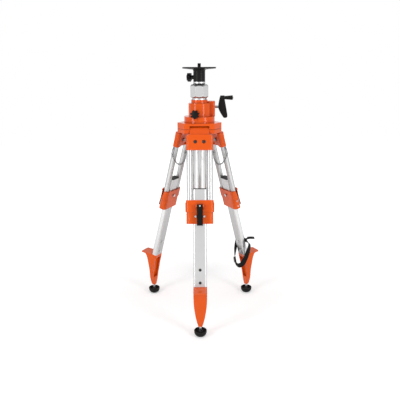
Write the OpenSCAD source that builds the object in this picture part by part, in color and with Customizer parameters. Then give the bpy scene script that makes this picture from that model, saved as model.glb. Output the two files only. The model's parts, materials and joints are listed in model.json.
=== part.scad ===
// Elevating survey tripod: a cranked column on three folding, telescopic legs.
// Millimetres, +Z up. The origin lies on the floor under the column's axis,
// the front leg points along -Y and the crank along +X.

/* [Legs] */
// Tilt of a spread leg from the vertical, in degrees
leg_tilt = 15.4; // [14:0.1:16.4]
// Distance down a leg from its hinge to the foot casting
leg_reach = 700; // [680:1:730]
// Distance of the tubes' plane outside the hinge axis
leg_offset = 17.5; // [16.5:0.1:19]
// Distance between the axes of a leg's two tubes
tube_spread = 90; // [88:1:94]
// Outside diameter of a leg tube
tube_d = 26.5; // [25:0.5:28]
// Wall of a leg tube
tube_wall = 2.5; // [1.5:0.1:4]
// Width of the sliding lower leg
lower_w = 60; // [57:0.5:61]
// Depth of the sliding lower leg
lower_t = 28; // [26:0.5:29]
// Wall of the lower leg
lower_wall = 2.5; // [1.5:0.1:4]
// Corner radius of the lower leg
lower_corner = 9; // [6:0.5:12]
// Distance down the leg from the hinge to the lower leg's black cap
lower_top = 264; // [252:1:280]
// Height of the lower leg's cap above the tube's end
cap_h = 4; // [3:0.5:6]

/* [Leg brackets] */
// Distance down the leg from the hinge to the bracket's shoulders
bracket_top = 28; // [27.5:0.5:30]
// Length of the bracket's block along the leg
bracket_len = 68; // [60:1:76]
// Wall of the bracket round a tube
bracket_wall = 1.7; // [1.5:0.1:3]
// Width of the hinge tongue
tongue_w = 86; // [80:1:88]
// Radius of the tongue's round end
tongue_r = 14; // [12:0.5:14.5]
// Distance between the two bracket bolts
bracket_bolt_gap = 38; // [32:1:42]
// Diameter of the bracket bolts
bracket_bolt_d = 8; // [6:0.5:10]

/* [Leg clamps] */
// Distance down the leg from the hinge to the clamp's top
clamp_top = 316; // [312:1:328]
// Length of the clamp along the leg
clamp_len = 105; // [98:1:115]
// Length of the clamp's wide upper part
clamp_jaw_len = 53; // [48:1:58]
// Width of the clamp's upper part
clamp_w = 129; // [127:1:134]
// Depth of the clamp's upper part
clamp_t = 40; // [38:0.5:44]
// How much narrower the lower part is than the upper, in all
clamp_step = 9; // [5:0.5:9]
// Width of the clamp lever
lever_w = 26; // [22:0.5:28]
// Length of the clamp lever
lever_len = 92; // [86:1:100]
// Thickness of the clamp lever
lever_t = 6; // [5:0.5:8]

/* [Feet] */
// Length of the foot casting
foot_len = 184; // [172:1:196]
// How far the foot casting leans back from the leg's tilt, in degrees
foot_bend = 7.5; // [6:0.1:9]
// Height of the casting's tip above the floor
foot_tip_h = 47.5; // [44:0.5:56]
// Reach of the pedal outside the lower leg
pedal_reach = 67; // [60:1:74]
// Diameter of the steel spike
spike_d = 12; // [10:0.5:13]
// Diameter of the rubber pad
pad_d = 57; // [53:1:61]
// Height of the rubber pad
pad_h = 28; // [27:1:32]

/* [Head] */
// Distance from the column's axis to a leg face of the head
head_r = 76; // [75:0.5:80]
// Width of a leg face of the head
head_side = 135; // [130:1:142]
// Height of the head's upper half
head_upper_h = 26.6; // [24:0.2:32]
// Height of the head's lower half
head_lower_h = 18; // [16:0.5:18]
// Distance from the column's axis to the hinge pins
hinge_r = 58; // [57:0.5:59]
// Diameter of the hinge pins
hinge_pin_d = 10; // [8:0.5:12]

/* [Gear housing] */
// Diameter of the housing's flange
flange_d = 139; // [132:1:146]
// Height of the housing's flange
flange_h = 26; // [22:1:30]
// Diameter of the housing's drum
drum_d = 99; // [94:1:106]
// Height of the housing's drum
drum_h = 58.5; // [57:0.5:68]
// Diameter of the ring on top of the drum
neck_d = 74; // [73:0.5:80]
// Height of the ring on top of the drum
neck_h = 15; // [12:1:20]
// Reach of the gear box to the right of the column's axis
box_reach = 71.5; // [68:0.5:76]
// Height of the gear box above the drum
box_rise = 7; // [5:0.5:9]

/* [Column] */
// Diameter of the column
column_d = 65; // [64:0.5:66]
// Wall of the column
column_wall = 4; // [3:0.5:5]
// Length of the column below its head
column_len = 480; // [460:1:500]
// How far the column rises
column_travel = 300; // [260:1:320]
// Gap between the housing and the lowered column head
column_gap = 7; // [4:0.5:10]
// Width of the eight-sided column head across its flats
sleeve_w = 80; // [76:1:86]
// Height of the eight-sided column head
sleeve_h = 60; // [54:1:68]
// Diameter of the hub and of the rings below it
hub_d = 53; // [50:0.5:56]

/* [Platform] */
// Diameter of the platform
platform_d = 150; // [140:1:160]
// Height of the platform from the hub's foot to its top face
platform_h = 63; // [58:1:68]
// Thickness of the platform's rim
rim_t = 6.5; // [5:0.5:8]
// Diameter of the instrument bolt, 5/8 in.
bolt_d = 15.875; // [15.875:0.001:15.875]
// Height of the instrument bolt above the platform
bolt_h = 16; // [12:1:20]

/* [Crank] */
// Height of the crank's axis above the drum's foot
crank_rise = 38; // [37:0.5:39]
// Diameter of the crank's shaft
shaft_d = 12; // [10:0.5:13]
// Distance from the crank's axis to the grip's axis
crank_r = 41; // [36:1:44]
// Length of the grip
grip_len = 37; // [34:1:44]
// Teeth on the pinion
pinion_teeth = 12; // [12:1:12]
// Module of the rack and pinion
gear_module = 2; // [1.9:0.05:2.1]

/* [Knobs] */
// Diameter of the star knobs
knob_d = 39; // [36:0.5:42]
// Length of the star knobs
knob_h = 17; // [15:0.5:20]
// Diameter of the knobs' studs
stud_d = 10; // [8:0.5:11]
// Bearing of the column knob, in degrees
column_knob_bearing = -105; // [-108:1:-100]
// Bearing of the platform knob, in degrees
platform_knob_bearing = 160; // [140:1:170]

/* [Chains] */
// Wire of the chain's links
link_wire = 2.4; // [2:0.1:2.6]
// Spacing of the chain's links
link_pitch = 11.7; // [11.2:0.1:12.2]
// Links in a chain, an odd number
link_count = 13; // [13:2:15]
// Distance down the leg from the hinge to the foot of the chain's end rings
chain_drop = 133; // [128:1:140]

/* [Strap] */
// Width of the webbing
strap_w = 25; // [22:0.5:26]
// Thickness of the webbing
strap_t = 1.8; // [1.4:0.1:2]

/* [Hidden] */
$fn = 48;
// Overrun of cuts
over = 1;
// Running gap between pieces that move past each other
gap = 0.3;
// Radial clearance of a shaft in its hole
fit = 0.05;

// Colours
orange = [0.95, 0.36, 0.08];
silver = [0.83, 0.84, 0.85];
steel = [0.62, 0.63, 0.65];
black = [0.08, 0.08, 0.085];
rubber = [0.05, 0.05, 0.05];

// Legs by name and bearing
LEGS = [["front", -90], ["right", 30], ["left", 150]];

// Heights and radii that follow from the legs
foot_tilt = leg_tilt - foot_bend;
foot_top_r = hinge_r + leg_reach * sin(leg_tilt) + leg_offset * cos(leg_tilt);
foot_r = foot_top_r + foot_len * sin(foot_tilt);
hinge_z = foot_tip_h + foot_len * cos(foot_tilt) + leg_reach * cos(leg_tilt) - leg_offset * sin(leg_tilt);
head_top = hinge_z + head_upper_h;
head_bottom = hinge_z - head_lower_h;

// Bracket
bracket_t = tube_d + 2 * bracket_wall;
bracket_w = tube_spread + bracket_t;
bracket_bottom = bracket_top + bracket_len;
bracket_corner = bracket_t / 2.2;
shoulder_r = 10;
socket_roof = 8;
bolt_inset = 31;
bolt_row = bracket_top + bolt_inset;
bolt_recess_d = 2.1 * bracket_bolt_d;
bolt_recess = 4;
bolt_head_d = 1.6 * bracket_bolt_d;
nut_d = 1.9 * bracket_bolt_d;
nut_h = 0.8 * bracket_bolt_d;
web_cut_depth = 9;
web_cut_h = 22;

// Clamp
clamp_bottom = clamp_top + clamp_len;
clamp_lower_w = clamp_w - clamp_step;
clamp_step_t = 2;
clamp_lower_t = clamp_t - clamp_step_t;
clamp_corner = 0.44 * clamp_t;
clamp_floor = 4;
jaw_t = 8;
jaw_rise = 10;
slit_w = 11;
slit_len = 60;
tube_top = bracket_top + socket_roof;
tube_bottom = clamp_bottom - clamp_floor;
flute_w = 3;
flute_depth = 0.8;

// Clamp lever and the screws round it
lever_hub_r = 6.5;
lever_pin_d = 5;
lever_pivot_drop = 25;
lever_pivot_out = 16.5;
lever_drop = clamp_top + lever_pivot_drop;
lever_out = leg_offset + clamp_t / 2 + lever_pivot_out;
lug_t = 5;
lug_foot = 3 * lever_hub_r;
lever_nose = lever_pivot_out - lever_hub_r - 2 * gap;
lever_flare = 4;
lever_tip_t = 4;
clamp_screw_d = 9;
clamp_screw_h = 3;
clamp_screw_y = lever_w / 2 + clamp_screw_d / 2 + over;
clamp_screw_row = 72;
clamp_screw_drop = clamp_top + clamp_screw_row;
pad_screw_d = 14;
pad_screw_h = 4;
pad_screw_row = 37;
pad_screw_drop = clamp_top + pad_screw_row;
pad_screw_shank = 8;

// Foot casting
foot_straight = 0.24 * foot_len;
foot_tip_w = 17;
foot_tip_t = 17;
foot_wall = 6.5;
foot_web = 8;
channel_len = 0.75 * foot_len;
foot_lap = 12;
tang_len = 95;
upper_bolt_rise = 76;
lower_bolt_rise = 19;
foot_bolt_drops = [leg_reach - upper_bolt_rise, leg_reach - lower_bolt_rise];
foot_bolt_d = 8;
foot_bolt_head_d = 13;
foot_bolt_head_h = 4;
pedal_tip_t = 5;
pedal_fall = pedal_reach * tan(foot_tilt) / 2;
foot_arc_len = foot_len - foot_straight;
foot_arc_rise = (lower_w - foot_tip_w) / 2;
foot_arc_r = (foot_arc_len * foot_arc_len + foot_arc_rise * foot_arc_rise) / (2 * foot_arc_rise);
// Underside of the pedal and the outer edge below it, as shares of the pedal's reach and the foot's length
pedal_under_shares = [
    [0.62, 0.045], [0.45, 0.11], [0.31, 0.23], [0.19, 0.37],
    [0.11, 0.49], [0.06, 0.62], [0.04, 0.76], [-0.02, 0.9]
];
// Inner edge of the casting, as shares of half the lower leg's depth and of the foot's length
foot_back_shares = [
    [-0.52, 0.86], [-0.36, 0.74], [-0.25, 0.6], [-0.32, 0.44], [-0.38, 0.31], [-0.64, 0.17], [-1, 0]
];

// Spike and pad
spike_foot = 12;
spike_head = 40;
pad_band = 6;
pad_sole_r = 9;
pad_lip = 4;
pad_boss_wall = 4;
pad_boss_r = spike_d / 2 + pad_boss_wall;
pad_boss_h = 22;
pad_hollow = 18;

// Head
slot_room = 1;
slot_w = tongue_w + slot_room;
slot_back = hinge_r - tongue_r - slot_room;
slot_roof = hinge_z + tongue_r + slot_room;
hinge_pin_seat = 18;
hinge_pin_len = slot_w + 2 * hinge_pin_seat;
head_screw_r = 54;
head_screw_d = 8;
head_screw_head_d = 14;
head_screw_head_h = 6;

// Gear housing
bush_t = 2;
bore_d = column_d + 2 * bush_t + 2 * fit;
drum_foot = head_top + flange_h;
drum_top = drum_foot + drum_h;
neck_top = drum_top + neck_h;
box_top = drum_top + box_rise;
box_back = 64;
box_front = 10;
box_left = -30;
box_corner = 8;
box_sink = 4;
lower_bush_h = 24;
upper_bush_h = 17;
bush_inset = 1;
cover_t = 4;
cover_w = 46;
cover_h = 46;
cover_screw_inset = 6;
cover_screw_d = 4;
cover_screw_head_d = 7;
cover_screw_head_h = 3;
cover_screw_len = 12;

// Rack and pinion
pressure_angle = 25;
tooth_addendum = 0.8 * gear_module;
tooth_dedendum = 1.1 * gear_module;
backlash = 0.45;
tooth_pitch = PI * gear_module;
pinion_r = gear_module * pinion_teeth / 2;
pinion_tip_r = pinion_r + tooth_addendum;
pinion_len = 11;
rack_w = 12;
rack_base = 4;
rack_sink = 0.5;
rack_tip_y = sqrt(pow(column_d / 2, 2) - pow(rack_w / 2, 2)) - rack_sink;
rack_pitch_y = rack_tip_y - tooth_addendum;
rack_root_y = rack_pitch_y - tooth_dedendum;
rack_floor_y = rack_root_y - rack_base;
rack_rib_t = 4;
rack_rib_w = rack_w + 2 * rack_rib_t;
rack_below = column_travel + 2 * tooth_pitch;
rack_above = 2 * tooth_pitch;
crank_y = rack_pitch_y + pinion_r;
crank_z = drum_foot + crank_rise;
pinion_room = 1.5;
shaft_left = -26;
shaft_end = 100;

// Column and its head
sleeve_foot = neck_top + column_gap;
sleeve_top = sleeve_foot + sleeve_h;
sleeve_chamfer = 6;
column_foot = sleeve_foot - column_len;
column_lap = 45;
ring_h = 4.5;
spigot_ring_h = 6.5;
spigot_d = 32;
spigot_h = 40;
hub_foot = sleeve_top + ring_h + spigot_ring_h + gap;
platform_top = hub_foot + platform_h;
plug_h = 8;
plug_lap = 14;

// Platform
rim_fall = 4;
hub_fillet = 7;
platform_bolt_depth = 12;
bolt_stub_d = 12;
bolt_seat = 2;
bolt_relief = 0.7;
bolt_chamfer = 1.5;
edge_chamfer = 1;

// Knobs
knob_lobes = 7;
knob_lobe_r = 0.13 * knob_d;
knob_core_r = knob_d / 2 - 1.35 * knob_lobe_r;
knob_neck_d = 0.46 * knob_d;
knob_crown = 3;
knob_room = 1.5;
column_knob_back = drum_d / 2 + knob_room;
column_knob_neck = (flange_d - drum_d) / 2;
column_knob_rise = 14;
column_knob_z = drum_foot + column_knob_rise;
platform_knob_back = hub_d / 2 + knob_room;
platform_knob_neck = 12;
platform_knob_rise = 19;
platform_knob_z = hub_foot + platform_knob_rise;

// Crank arm, side on, as shares of its half height and of its depth along the shaft
arm_half = 51;
arm_depth = 41;
arm_foot = 88;
arm_w = 30;
arm_end_w = 20;
arm_shares = [[0.21, 1], [0.66, 1], [0.69, 0.66], [0.82, 0.08], [1, -0.72], [0.97, -0.92],
              [0.82, -1], [0.56, -0.95], [0.03, -0.23], [0, 0.2], [0.1, 0.66]];
grip_foot = arm_foot + 0.7 * arm_depth;
grip_d = 21;
grip_root_d = 15;
spindle_d = 6;
spindle_head_d = 10;
spindle_head_h = 3;
spindle_sink = 12;

// Chains
link_half = (link_pitch + link_wire + gap) / 2;
link_room = 1.9;
link_bend_r = link_wire / 2 + link_room;
chain_len = link_count * link_pitch;
chain_mid = floor(link_count / 2);
eye_r = 5;
eye_below_bracket = 6;
eye_drop = bracket_bottom + eye_below_bracket;
eye_y = tube_spread / 2 + tube_d / 2 + eye_r + link_wire / 2 + gap;
end_ring_play = 2;
end_ring_top = eye_drop + eye_r - link_wire - end_ring_play;
end_ring_half = (chain_drop - end_ring_top) / 2;
end_ring_bend_r = 4;
end_ring_turn = 50;
end_play = 0.2;
chain_anchor_r = hinge_r + chain_drop * sin(leg_tilt) + leg_offset * cos(leg_tilt);
chain_anchor_z = hinge_z - chain_drop * cos(leg_tilt) + leg_offset * sin(leg_tilt);

// Strap on the right lower leg, held by the upper foot bolt. Its places are shares of the lower leg's depth
// outward, of its width across and of the foot's length down, then the way it faces and how far it lies flat
strap_loop_shares = [
    [0.57, -0.42, -0.01, -10, 0], [0.66, -0.84, 0.08, -55, 0], [-0.05, -0.9, 0.26, -92, 0],
    [-0.77, -0.81, 0.44, -113, 0], [-1.48, -0.61, 0.6, -138, 0], [-1.91, -0.26, 0.66, -163, 0],
    [-1.91, 0.1, 0.62, -185, 0], [-1.75, 0.26, 0.54, -199, 0], [-1.5, 0.34, 0.46, -209, 0],
    [-0.77, 0.58, 0.31, -242, 0], [-0.05, 0.65, 0.14, -268, 0], [0.43, 0.57, 0.03, -310, 0]
];
strap_tail_shares = [
    [0.95, -0.44, -0.05, -400, 0.75], [1.5, -0.6, -0.04, -400, 1], [2.1, -0.76, -0.01, -400, 1]
];
strap_lap_shares = [0.2, 0, -0.22];
strap_buckle_row = 10;
strap_steps = 3;
strap_lay = strap_t + 2 * fit;
strap_out = lower_t / 2 + strap_lay / 2;
buckle_len = 30;
buckle_rail = 4;
buckle_w = strap_w + 2 * buckle_rail;
buckle_t = 9;
buckle_slot_t = strap_t + 4 * over;

// Nodes
LEG_NODES = ["leg_bracket", "leg_tubes", "leg_clamp", "leg_bolts", "clamp_lever", "lower_leg",
             "lower_leg_cap", "foot_casting", "foot_bolts", "foot_spike", "foot_pad", "chain"];
STAND_NODES = ["head_upper", "head_lower", "hinge_pins", "gear_housing", "gear_cover", "housing_screws",
               "column_bushes", "column_tube", "column_rack", "column_head", "column_caps", "platform",
               "instrument_bolt", "platform_knob", "platform_knob_stud", "column_knob", "column_knob_stud",
               "crank_shaft", "pinion", "crank_arm", "grip_spindle", "crank_grip", "strap", "strap_buckle"];

// Shared shapes

function arc(centre, r, from, to, steps = 8) =
    [for (i = [0 : steps]) let (a = from + (to - from) * i / steps) centre + r * [cos(a), sin(a)]];

function unit(v) = v / norm(v);

function spline_point(a, b, c, d, u) =
    ((2 * b) + (c - a) * u + (2 * a - 5 * b + 4 * c - d) * u * u + (3 * b - a - 3 * c + d) * u * u * u) / 2;

// A smooth run through the points, with the given steps between neighbours
function spline(points, steps) = let (last = len(points) - 1) concat(
    [for (i = [0 : last - 1], k = [0 : steps - 1]) spline_point(
        points[max(i - 1, 0)], points[i], points[i + 1], points[min(i + 2, last)], k / steps)],
    [points[last]]);

module rounded_rect(x, y, r) {
    square([x - 2 * r, y], center = true);
    square([x, y - 2 * r], center = true);
    for (sx = [-1, 1], sy = [-1, 1]) translate([sx * (x / 2 - r), sy * (y / 2 - r)]) circle(r);
}

// A bar along the leg, between two distances down it
module leg_bar(top, bottom, depth, width, corner) {
    translate([leg_offset, 0, -bottom]) linear_extrude(bottom - top) rounded_rect(depth, width, corner);
}

// A rod along the leg
module leg_rod(top, bottom, d, across) {
    translate([leg_offset, across, -bottom]) cylinder(h = bottom - top, d = d);
}

// A rod that points outward from the leg
module out_rod(from, to, d, across, drop) {
    translate([from, across, -drop]) rotate([0, 90, 0]) cylinder(h = to - from, d = d);
}

// A flat outline, drawn outward and up the leg, with a width across the leg
module across(width) {
    translate([0, width / 2, 0]) rotate([90, 0, 0]) linear_extrude(width) children();
}

module at_leg(bearing) {
    rotate([0, 0, bearing]) translate([hinge_r, 0, hinge_z]) rotate([0, -leg_tilt, 0]) children();
}

module at_foot() {
    translate([leg_offset, 0, -leg_reach]) rotate([0, foot_bend, 0]) children();
}

module at_spike(bearing) {
    rotate([0, 0, bearing]) translate([foot_r, 0, 0]) children();
}

module ring(outer_d, inner_d, h) {
    difference() {
        cylinder(h = h, d = outer_d);
        translate([0, 0, -over]) cylinder(h = h + 2 * over, d = inner_d);
    }
}

// Head

module head_outline() {
    polygon([for (leg = LEGS, side = [-1, 1]) let (a = leg[1])
        head_r * [cos(a), sin(a)] + side * head_side / 2 * [-sin(a), cos(a)]]);
}

module head_cuts() {
    translate([0, 0, head_bottom - over]) cylinder(h = head_top - head_bottom + 2 * over, d = bore_d);
    for (leg = LEGS) rotate([0, 0, leg[1]]) {
        translate([slot_back, -slot_w / 2, head_bottom - over])
            cube([head_r, slot_w, slot_roof - head_bottom + over]);
        translate([hinge_r, hinge_pin_len / 2, hinge_z]) rotate([90, 0, 0])
            cylinder(h = hinge_pin_len, d = hinge_pin_d);
    }
    for (leg = LEGS) rotate([0, 0, leg[1] + 180]) translate([head_screw_r, 0, head_bottom - over]) {
        cylinder(h = head_top - head_bottom + 2 * over, d = head_screw_d);
        cylinder(h = head_screw_head_h + over, d = head_screw_head_d + 2 * gap);
    }
}

module head_upper() color(orange) difference() {
    translate([0, 0, hinge_z]) linear_extrude(head_upper_h) head_outline();
    head_cuts();
}

module head_lower() color(orange) difference() {
    translate([0, 0, head_bottom]) linear_extrude(head_lower_h) head_outline();
    head_cuts();
}

module hinge_pins() color(steel) for (leg = LEGS) rotate([0, 0, leg[1]])
    translate([hinge_r, hinge_pin_len / 2, hinge_z]) rotate([90, 0, 0])
        cylinder(h = hinge_pin_len, d = hinge_pin_d);

// Gear housing

module gear_box_outline() {
    translate([(box_left + box_reach) / 2, (box_front + box_back) / 2])
        rounded_rect(box_reach - box_left, box_back - box_front, box_corner);
}

module gear_housing() color(orange) difference() {
    union() {
        translate([0, 0, head_top]) cylinder(h = flange_h, d = flange_d);
        translate([0, 0, head_top]) cylinder(h = flange_h + drum_h, d = drum_d);
        translate([0, 0, head_top]) cylinder(h = flange_h + drum_h + neck_h, d = neck_d);
        translate([0, 0, drum_foot - box_sink])
            linear_extrude(box_top - drum_foot + box_sink) gear_box_outline();
    }
    translate([0, 0, head_top - over]) cylinder(h = neck_top - head_top + 2 * over, d = bore_d);
    // Room for the pinion, open to the column and to the cover
    translate([-pinion_len / 2 - pinion_room, crank_y, crank_z]) rotate([0, 90, 0])
        cylinder(h = pinion_len + 2 * pinion_room, r = pinion_tip_r + pinion_room);
    translate([-pinion_len / 2 - pinion_room, crank_y, crank_z - pinion_tip_r - pinion_room])
        cube([pinion_len + 2 * pinion_room, box_back - crank_y + over, 2 * (pinion_tip_r + pinion_room)]);
    translate([-pinion_len / 2 - pinion_room, 0, crank_z - pinion_tip_r])
        cube([pinion_len + 2 * pinion_room, crank_y, 2 * pinion_tip_r]);
    // Shaft, lock stud and screws
    translate([shaft_left - gap, crank_y, crank_z]) rotate([0, 90, 0])
        cylinder(h = box_reach - shaft_left + gap + over, d = shaft_d + 2 * fit);
    rotate([0, 0, column_knob_bearing]) translate([0, 0, column_knob_z]) rotate([0, 90, 0])
        cylinder(h = drum_d, d = stud_d + 2 * fit);
    for (leg = LEGS) rotate([0, 0, leg[1] + 180]) translate([head_screw_r, 0, head_top - over])
        cylinder(h = flange_h / 2 + over, d = head_screw_d);
    cover_screw_places() rotate([90, 0, 0]) cylinder(h = cover_screw_len, d = cover_screw_d);
}

module cover_screw_places() {
    for (sx = [-1, 1], sz = [-1, 1]) translate([
        sx * (cover_w / 2 - cover_screw_inset), box_back, crank_z + sz * (cover_h / 2 - cover_screw_inset)
    ]) children();
}

module gear_cover() color(orange) difference() {
    translate([0, box_back + cover_t, crank_z]) rotate([90, 0, 0])
        linear_extrude(cover_t) rounded_rect(cover_w, cover_h, cover_screw_inset);
    cover_screw_places() translate([0, cover_t + over, 0]) rotate([90, 0, 0])
        cylinder(h = cover_t + 2 * over, d = cover_screw_d);
}

module housing_screws() color(steel) {
    cover_screw_places() {
        translate([0, cover_t, 0]) rotate([90, 0, 0])
            cylinder(h = cover_t + cover_screw_len - over, d = cover_screw_d);
        translate([0, cover_t + cover_screw_head_h, 0]) rotate([90, 0, 0])
            cylinder(h = cover_screw_head_h, d = cover_screw_head_d);
    }
    for (leg = LEGS) rotate([0, 0, leg[1] + 180]) translate([head_screw_r, 0, head_bottom]) {
        cylinder(h = head_top - head_bottom + flange_h / 2 - over, d = head_screw_d);
        cylinder(h = head_screw_head_h, d = head_screw_head_d);
    }
}

module column_bushes() color(black) {
    translate([0, 0, head_top + bush_inset]) ring(bore_d, column_d + 2 * fit, lower_bush_h);
    translate([0, 0, neck_top - bush_inset - upper_bush_h]) ring(bore_d, column_d + 2 * fit, upper_bush_h);
}

// Column

module column_profile() {
    difference() {
        union() {
            difference() {
                circle(d = column_d);
                circle(d = column_d - 2 * column_wall);
            }
            intersection() {
                circle(d = column_d);
                translate([-rack_rib_w / 2, rack_floor_y - rack_rib_t]) square([rack_rib_w, column_d / 2]);
            }
        }
        translate([-rack_w / 2, rack_floor_y]) square([rack_w, column_d]);
    }
}

module column_tube() color(silver)
    translate([0, 0, column_foot]) linear_extrude(column_len + column_lap) column_profile();

// Straight-sided teeth, drawn up the rack from its lowest pitch
module rack_outline(length) {
    count = floor(length / tooth_pitch);
    half_at_pitch = tooth_pitch / 4 - backlash / 4;
    tip_half = half_at_pitch - tooth_addendum * tan(pressure_angle);
    root_half = half_at_pitch + tooth_dedendum * tan(pressure_angle);
    teeth = [for (i = [0 : count - 1]) let (at = (i + 1 / 2) * tooth_pitch) each [
        [rack_root_y, at - root_half], [rack_tip_y, at - tip_half],
        [rack_tip_y, at + tip_half], [rack_root_y, at + root_half]
    ]];
    polygon(concat([[rack_floor_y, 0], [rack_root_y, 0]], teeth,
        [[rack_root_y, count * tooth_pitch], [rack_floor_y, count * tooth_pitch]]));
}

// A tooth of the rack stands level with the crank's axis when the column is down
module column_rack() color(steel) {
    below = (floor(rack_below / tooth_pitch) + 1 / 2) * tooth_pitch;
    translate([-rack_w / 2, 0, crank_z - below]) rotate([90, 0, 90])
        linear_extrude(rack_w) rack_outline(below + rack_above + tooth_pitch);
}

module column_head() color(silver) difference() {
    union() {
        intersection() {
            translate([0, 0, sleeve_foot]) rotate([0, 0, 360 / 16])
                cylinder(h = sleeve_h, d = sleeve_w / cos(360 / 16), $fn = 8);
            translate([0, 0, sleeve_foot]) rotate_extrude() polygon([
                [0, 0], [sleeve_w / 2 - sleeve_chamfer, 0],
                [sleeve_w / 2 + sleeve_chamfer, 2 * sleeve_chamfer],
                [sleeve_w / 2 + sleeve_chamfer, sleeve_h - 2 * sleeve_chamfer],
                [sleeve_w / 2 - sleeve_chamfer, sleeve_h], [0, sleeve_h]
            ]);
        }
        translate([0, 0, sleeve_top - over])
            cylinder(h = ring_h + spigot_ring_h + over, d = hub_d - 2 * ring_h);
        translate([0, 0, sleeve_top + ring_h]) cylinder(h = spigot_ring_h, d = hub_d);
        translate([0, 0, sleeve_top + ring_h]) cylinder(h = spigot_ring_h + spigot_h, d = spigot_d);
    }
    translate([0, 0, sleeve_foot - over]) cylinder(h = column_lap + over, d = column_d + 2 * fit);
}

module column_caps() color(black) {
    translate([0, 0, sleeve_top]) ring(hub_d, hub_d - 2 * ring_h + 2 * fit, ring_h);
    translate([0, 0, column_foot - plug_h]) cylinder(h = plug_h, d = column_d);
    translate([0, 0, column_foot]) cylinder(h = plug_lap, r = rack_floor_y - rack_rib_t - gap);
}

// Platform

module platform() color(black) difference() {
    translate([0, 0, hub_foot]) rotate_extrude() polygon(concat(
        [[0, 0], [hub_d / 2 - edge_chamfer, 0], [hub_d / 2, edge_chamfer]],
        arc([hub_d / 2 + hub_fillet, platform_h - rim_t - rim_fall - hub_fillet], hub_fillet, 180, 90),
        [[platform_d / 2 - edge_chamfer, platform_h - rim_t],
         [platform_d / 2, platform_h - rim_t + edge_chamfer],
         [platform_d / 2, platform_h - edge_chamfer],
         [platform_d / 2 - edge_chamfer, platform_h],
         [0, platform_h]]
    ));
    translate([0, 0, hub_foot - over]) cylinder(h = spigot_h + gap + over, d = spigot_d + 2 * fit);
    translate([0, 0, platform_top - platform_bolt_depth])
        cylinder(h = platform_bolt_depth + over, d = bolt_stub_d);
    translate([0, 0, platform_top - bolt_seat]) cylinder(h = bolt_seat + over, d = bolt_d);
    rotate([0, 0, platform_knob_bearing]) translate([0, 0, platform_knob_z]) rotate([0, 90, 0])
        cylinder(h = hub_d, d = stud_d + 2 * fit);
}

// The bolt sits in a shallow seat, with a relief below its thread and a thinner stub
module instrument_bolt() color(black) translate([0, 0, platform_top]) rotate_extrude() polygon([
    [0, -platform_bolt_depth], [bolt_stub_d / 2, -platform_bolt_depth],
    [bolt_stub_d / 2, -bolt_seat], [bolt_d / 2 - bolt_relief, -bolt_seat],
    [bolt_d / 2 - bolt_relief, 0], [bolt_d / 2, 0],
    [bolt_d / 2, bolt_h - bolt_chamfer], [bolt_d / 2 - bolt_chamfer, bolt_h], [0, bolt_h]
]);

// Knobs, pointing along +X from the face that they turn on

module star_knob(back, neck) {
    crown_r = (knob_d * knob_d / 4 + knob_crown * knob_crown) / (2 * knob_crown);
    difference() {
        union() {
            intersection() {
                translate([back + neck, 0, 0]) rotate([0, 90, 0]) linear_extrude(knob_h) union() {
                    circle(knob_core_r);
                    for (i = [0 : knob_lobes - 1]) rotate([0, 0, 360 * i / knob_lobes])
                        translate([knob_d / 2 - knob_lobe_r, 0]) circle(knob_lobe_r);
                }
                translate([back + neck + knob_h - crown_r, 0, 0]) sphere(crown_r, $fn = 96);
            }
            translate([back, 0, 0]) rotate([0, 90, 0]) cylinder(h = neck + knob_h / 2, d = knob_neck_d);
        }
        translate([back - over, 0, 0]) rotate([0, 90, 0]) cylinder(h = neck + knob_h / 2 + over, d = stud_d);
    }
}

module stud(from, back, neck) {
    translate([from, 0, 0]) rotate([0, 90, 0]) cylinder(h = back + neck + knob_h / 2 - from, d = stud_d);
}

module at_column_knob() {
    rotate([0, 0, column_knob_bearing]) translate([0, 0, column_knob_z]) children();
}

module at_platform_knob() {
    rotate([0, 0, platform_knob_bearing]) translate([0, 0, platform_knob_z]) children();
}

module column_knob() color(black) at_column_knob() star_knob(column_knob_back, column_knob_neck);

module column_knob_stud() color(steel) at_column_knob()
    stud(column_d / 2 + gap, column_knob_back, column_knob_neck);

module platform_knob() color(black) at_platform_knob() star_knob(platform_knob_back, platform_knob_neck);

module platform_knob_stud() color(steel) at_platform_knob()
    stud(spigot_d / 2 + gap, platform_knob_back, platform_knob_neck);

// Crank

module at_crank() {
    translate([0, crank_y, crank_z]) children();
}

module crank_shaft() color(steel) at_crank()
    translate([shaft_left, 0, 0]) rotate([0, 90, 0]) cylinder(h = shaft_end - shaft_left, d = shaft_d);

function involute(a) = tan(a) - a * PI / 180;

// Half the angle of a tooth at a radius, in degrees
function tooth_half_angle(r) = let (base = pinion_r * cos(pressure_angle)) 90 / pinion_teeth
    - backlash / (4 * pinion_r) * 180 / PI
    + (involute(pressure_angle) - involute(acos(min(1, base / r)))) * 180 / PI;

// A gap of the pinion faces the rack
module pinion() color(steel) at_crank() translate([-pinion_len / 2, 0, 0]) rotate([90, 0, 90]) difference() {
    root_r = pinion_r - tooth_dedendum;
    base_r = pinion_r * cos(pressure_angle);
    radii = concat([root_r], [for (i = [0 : 4]) base_r + (pinion_tip_r - base_r) * i / 4]);
    flank = [for (r = radii) [r, tooth_half_angle(r)]];
    teeth = [for (i = [0 : pinion_teeth - 1]) let (at = 180 + (i + 1 / 2) * 360 / pinion_teeth) each concat(
        [for (p = flank) p[0] * [cos(at - p[1]), sin(at - p[1])]],
        [for (k = [len(flank) - 1 : -1 : 0]) let (p = flank[k]) p[0] * [cos(at + p[1]), sin(at + p[1])]]
    )];
    linear_extrude(pinion_len) polygon(teeth);
    translate([0, 0, -over]) cylinder(h = pinion_len + 2 * over, d = shaft_d);
}

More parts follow.
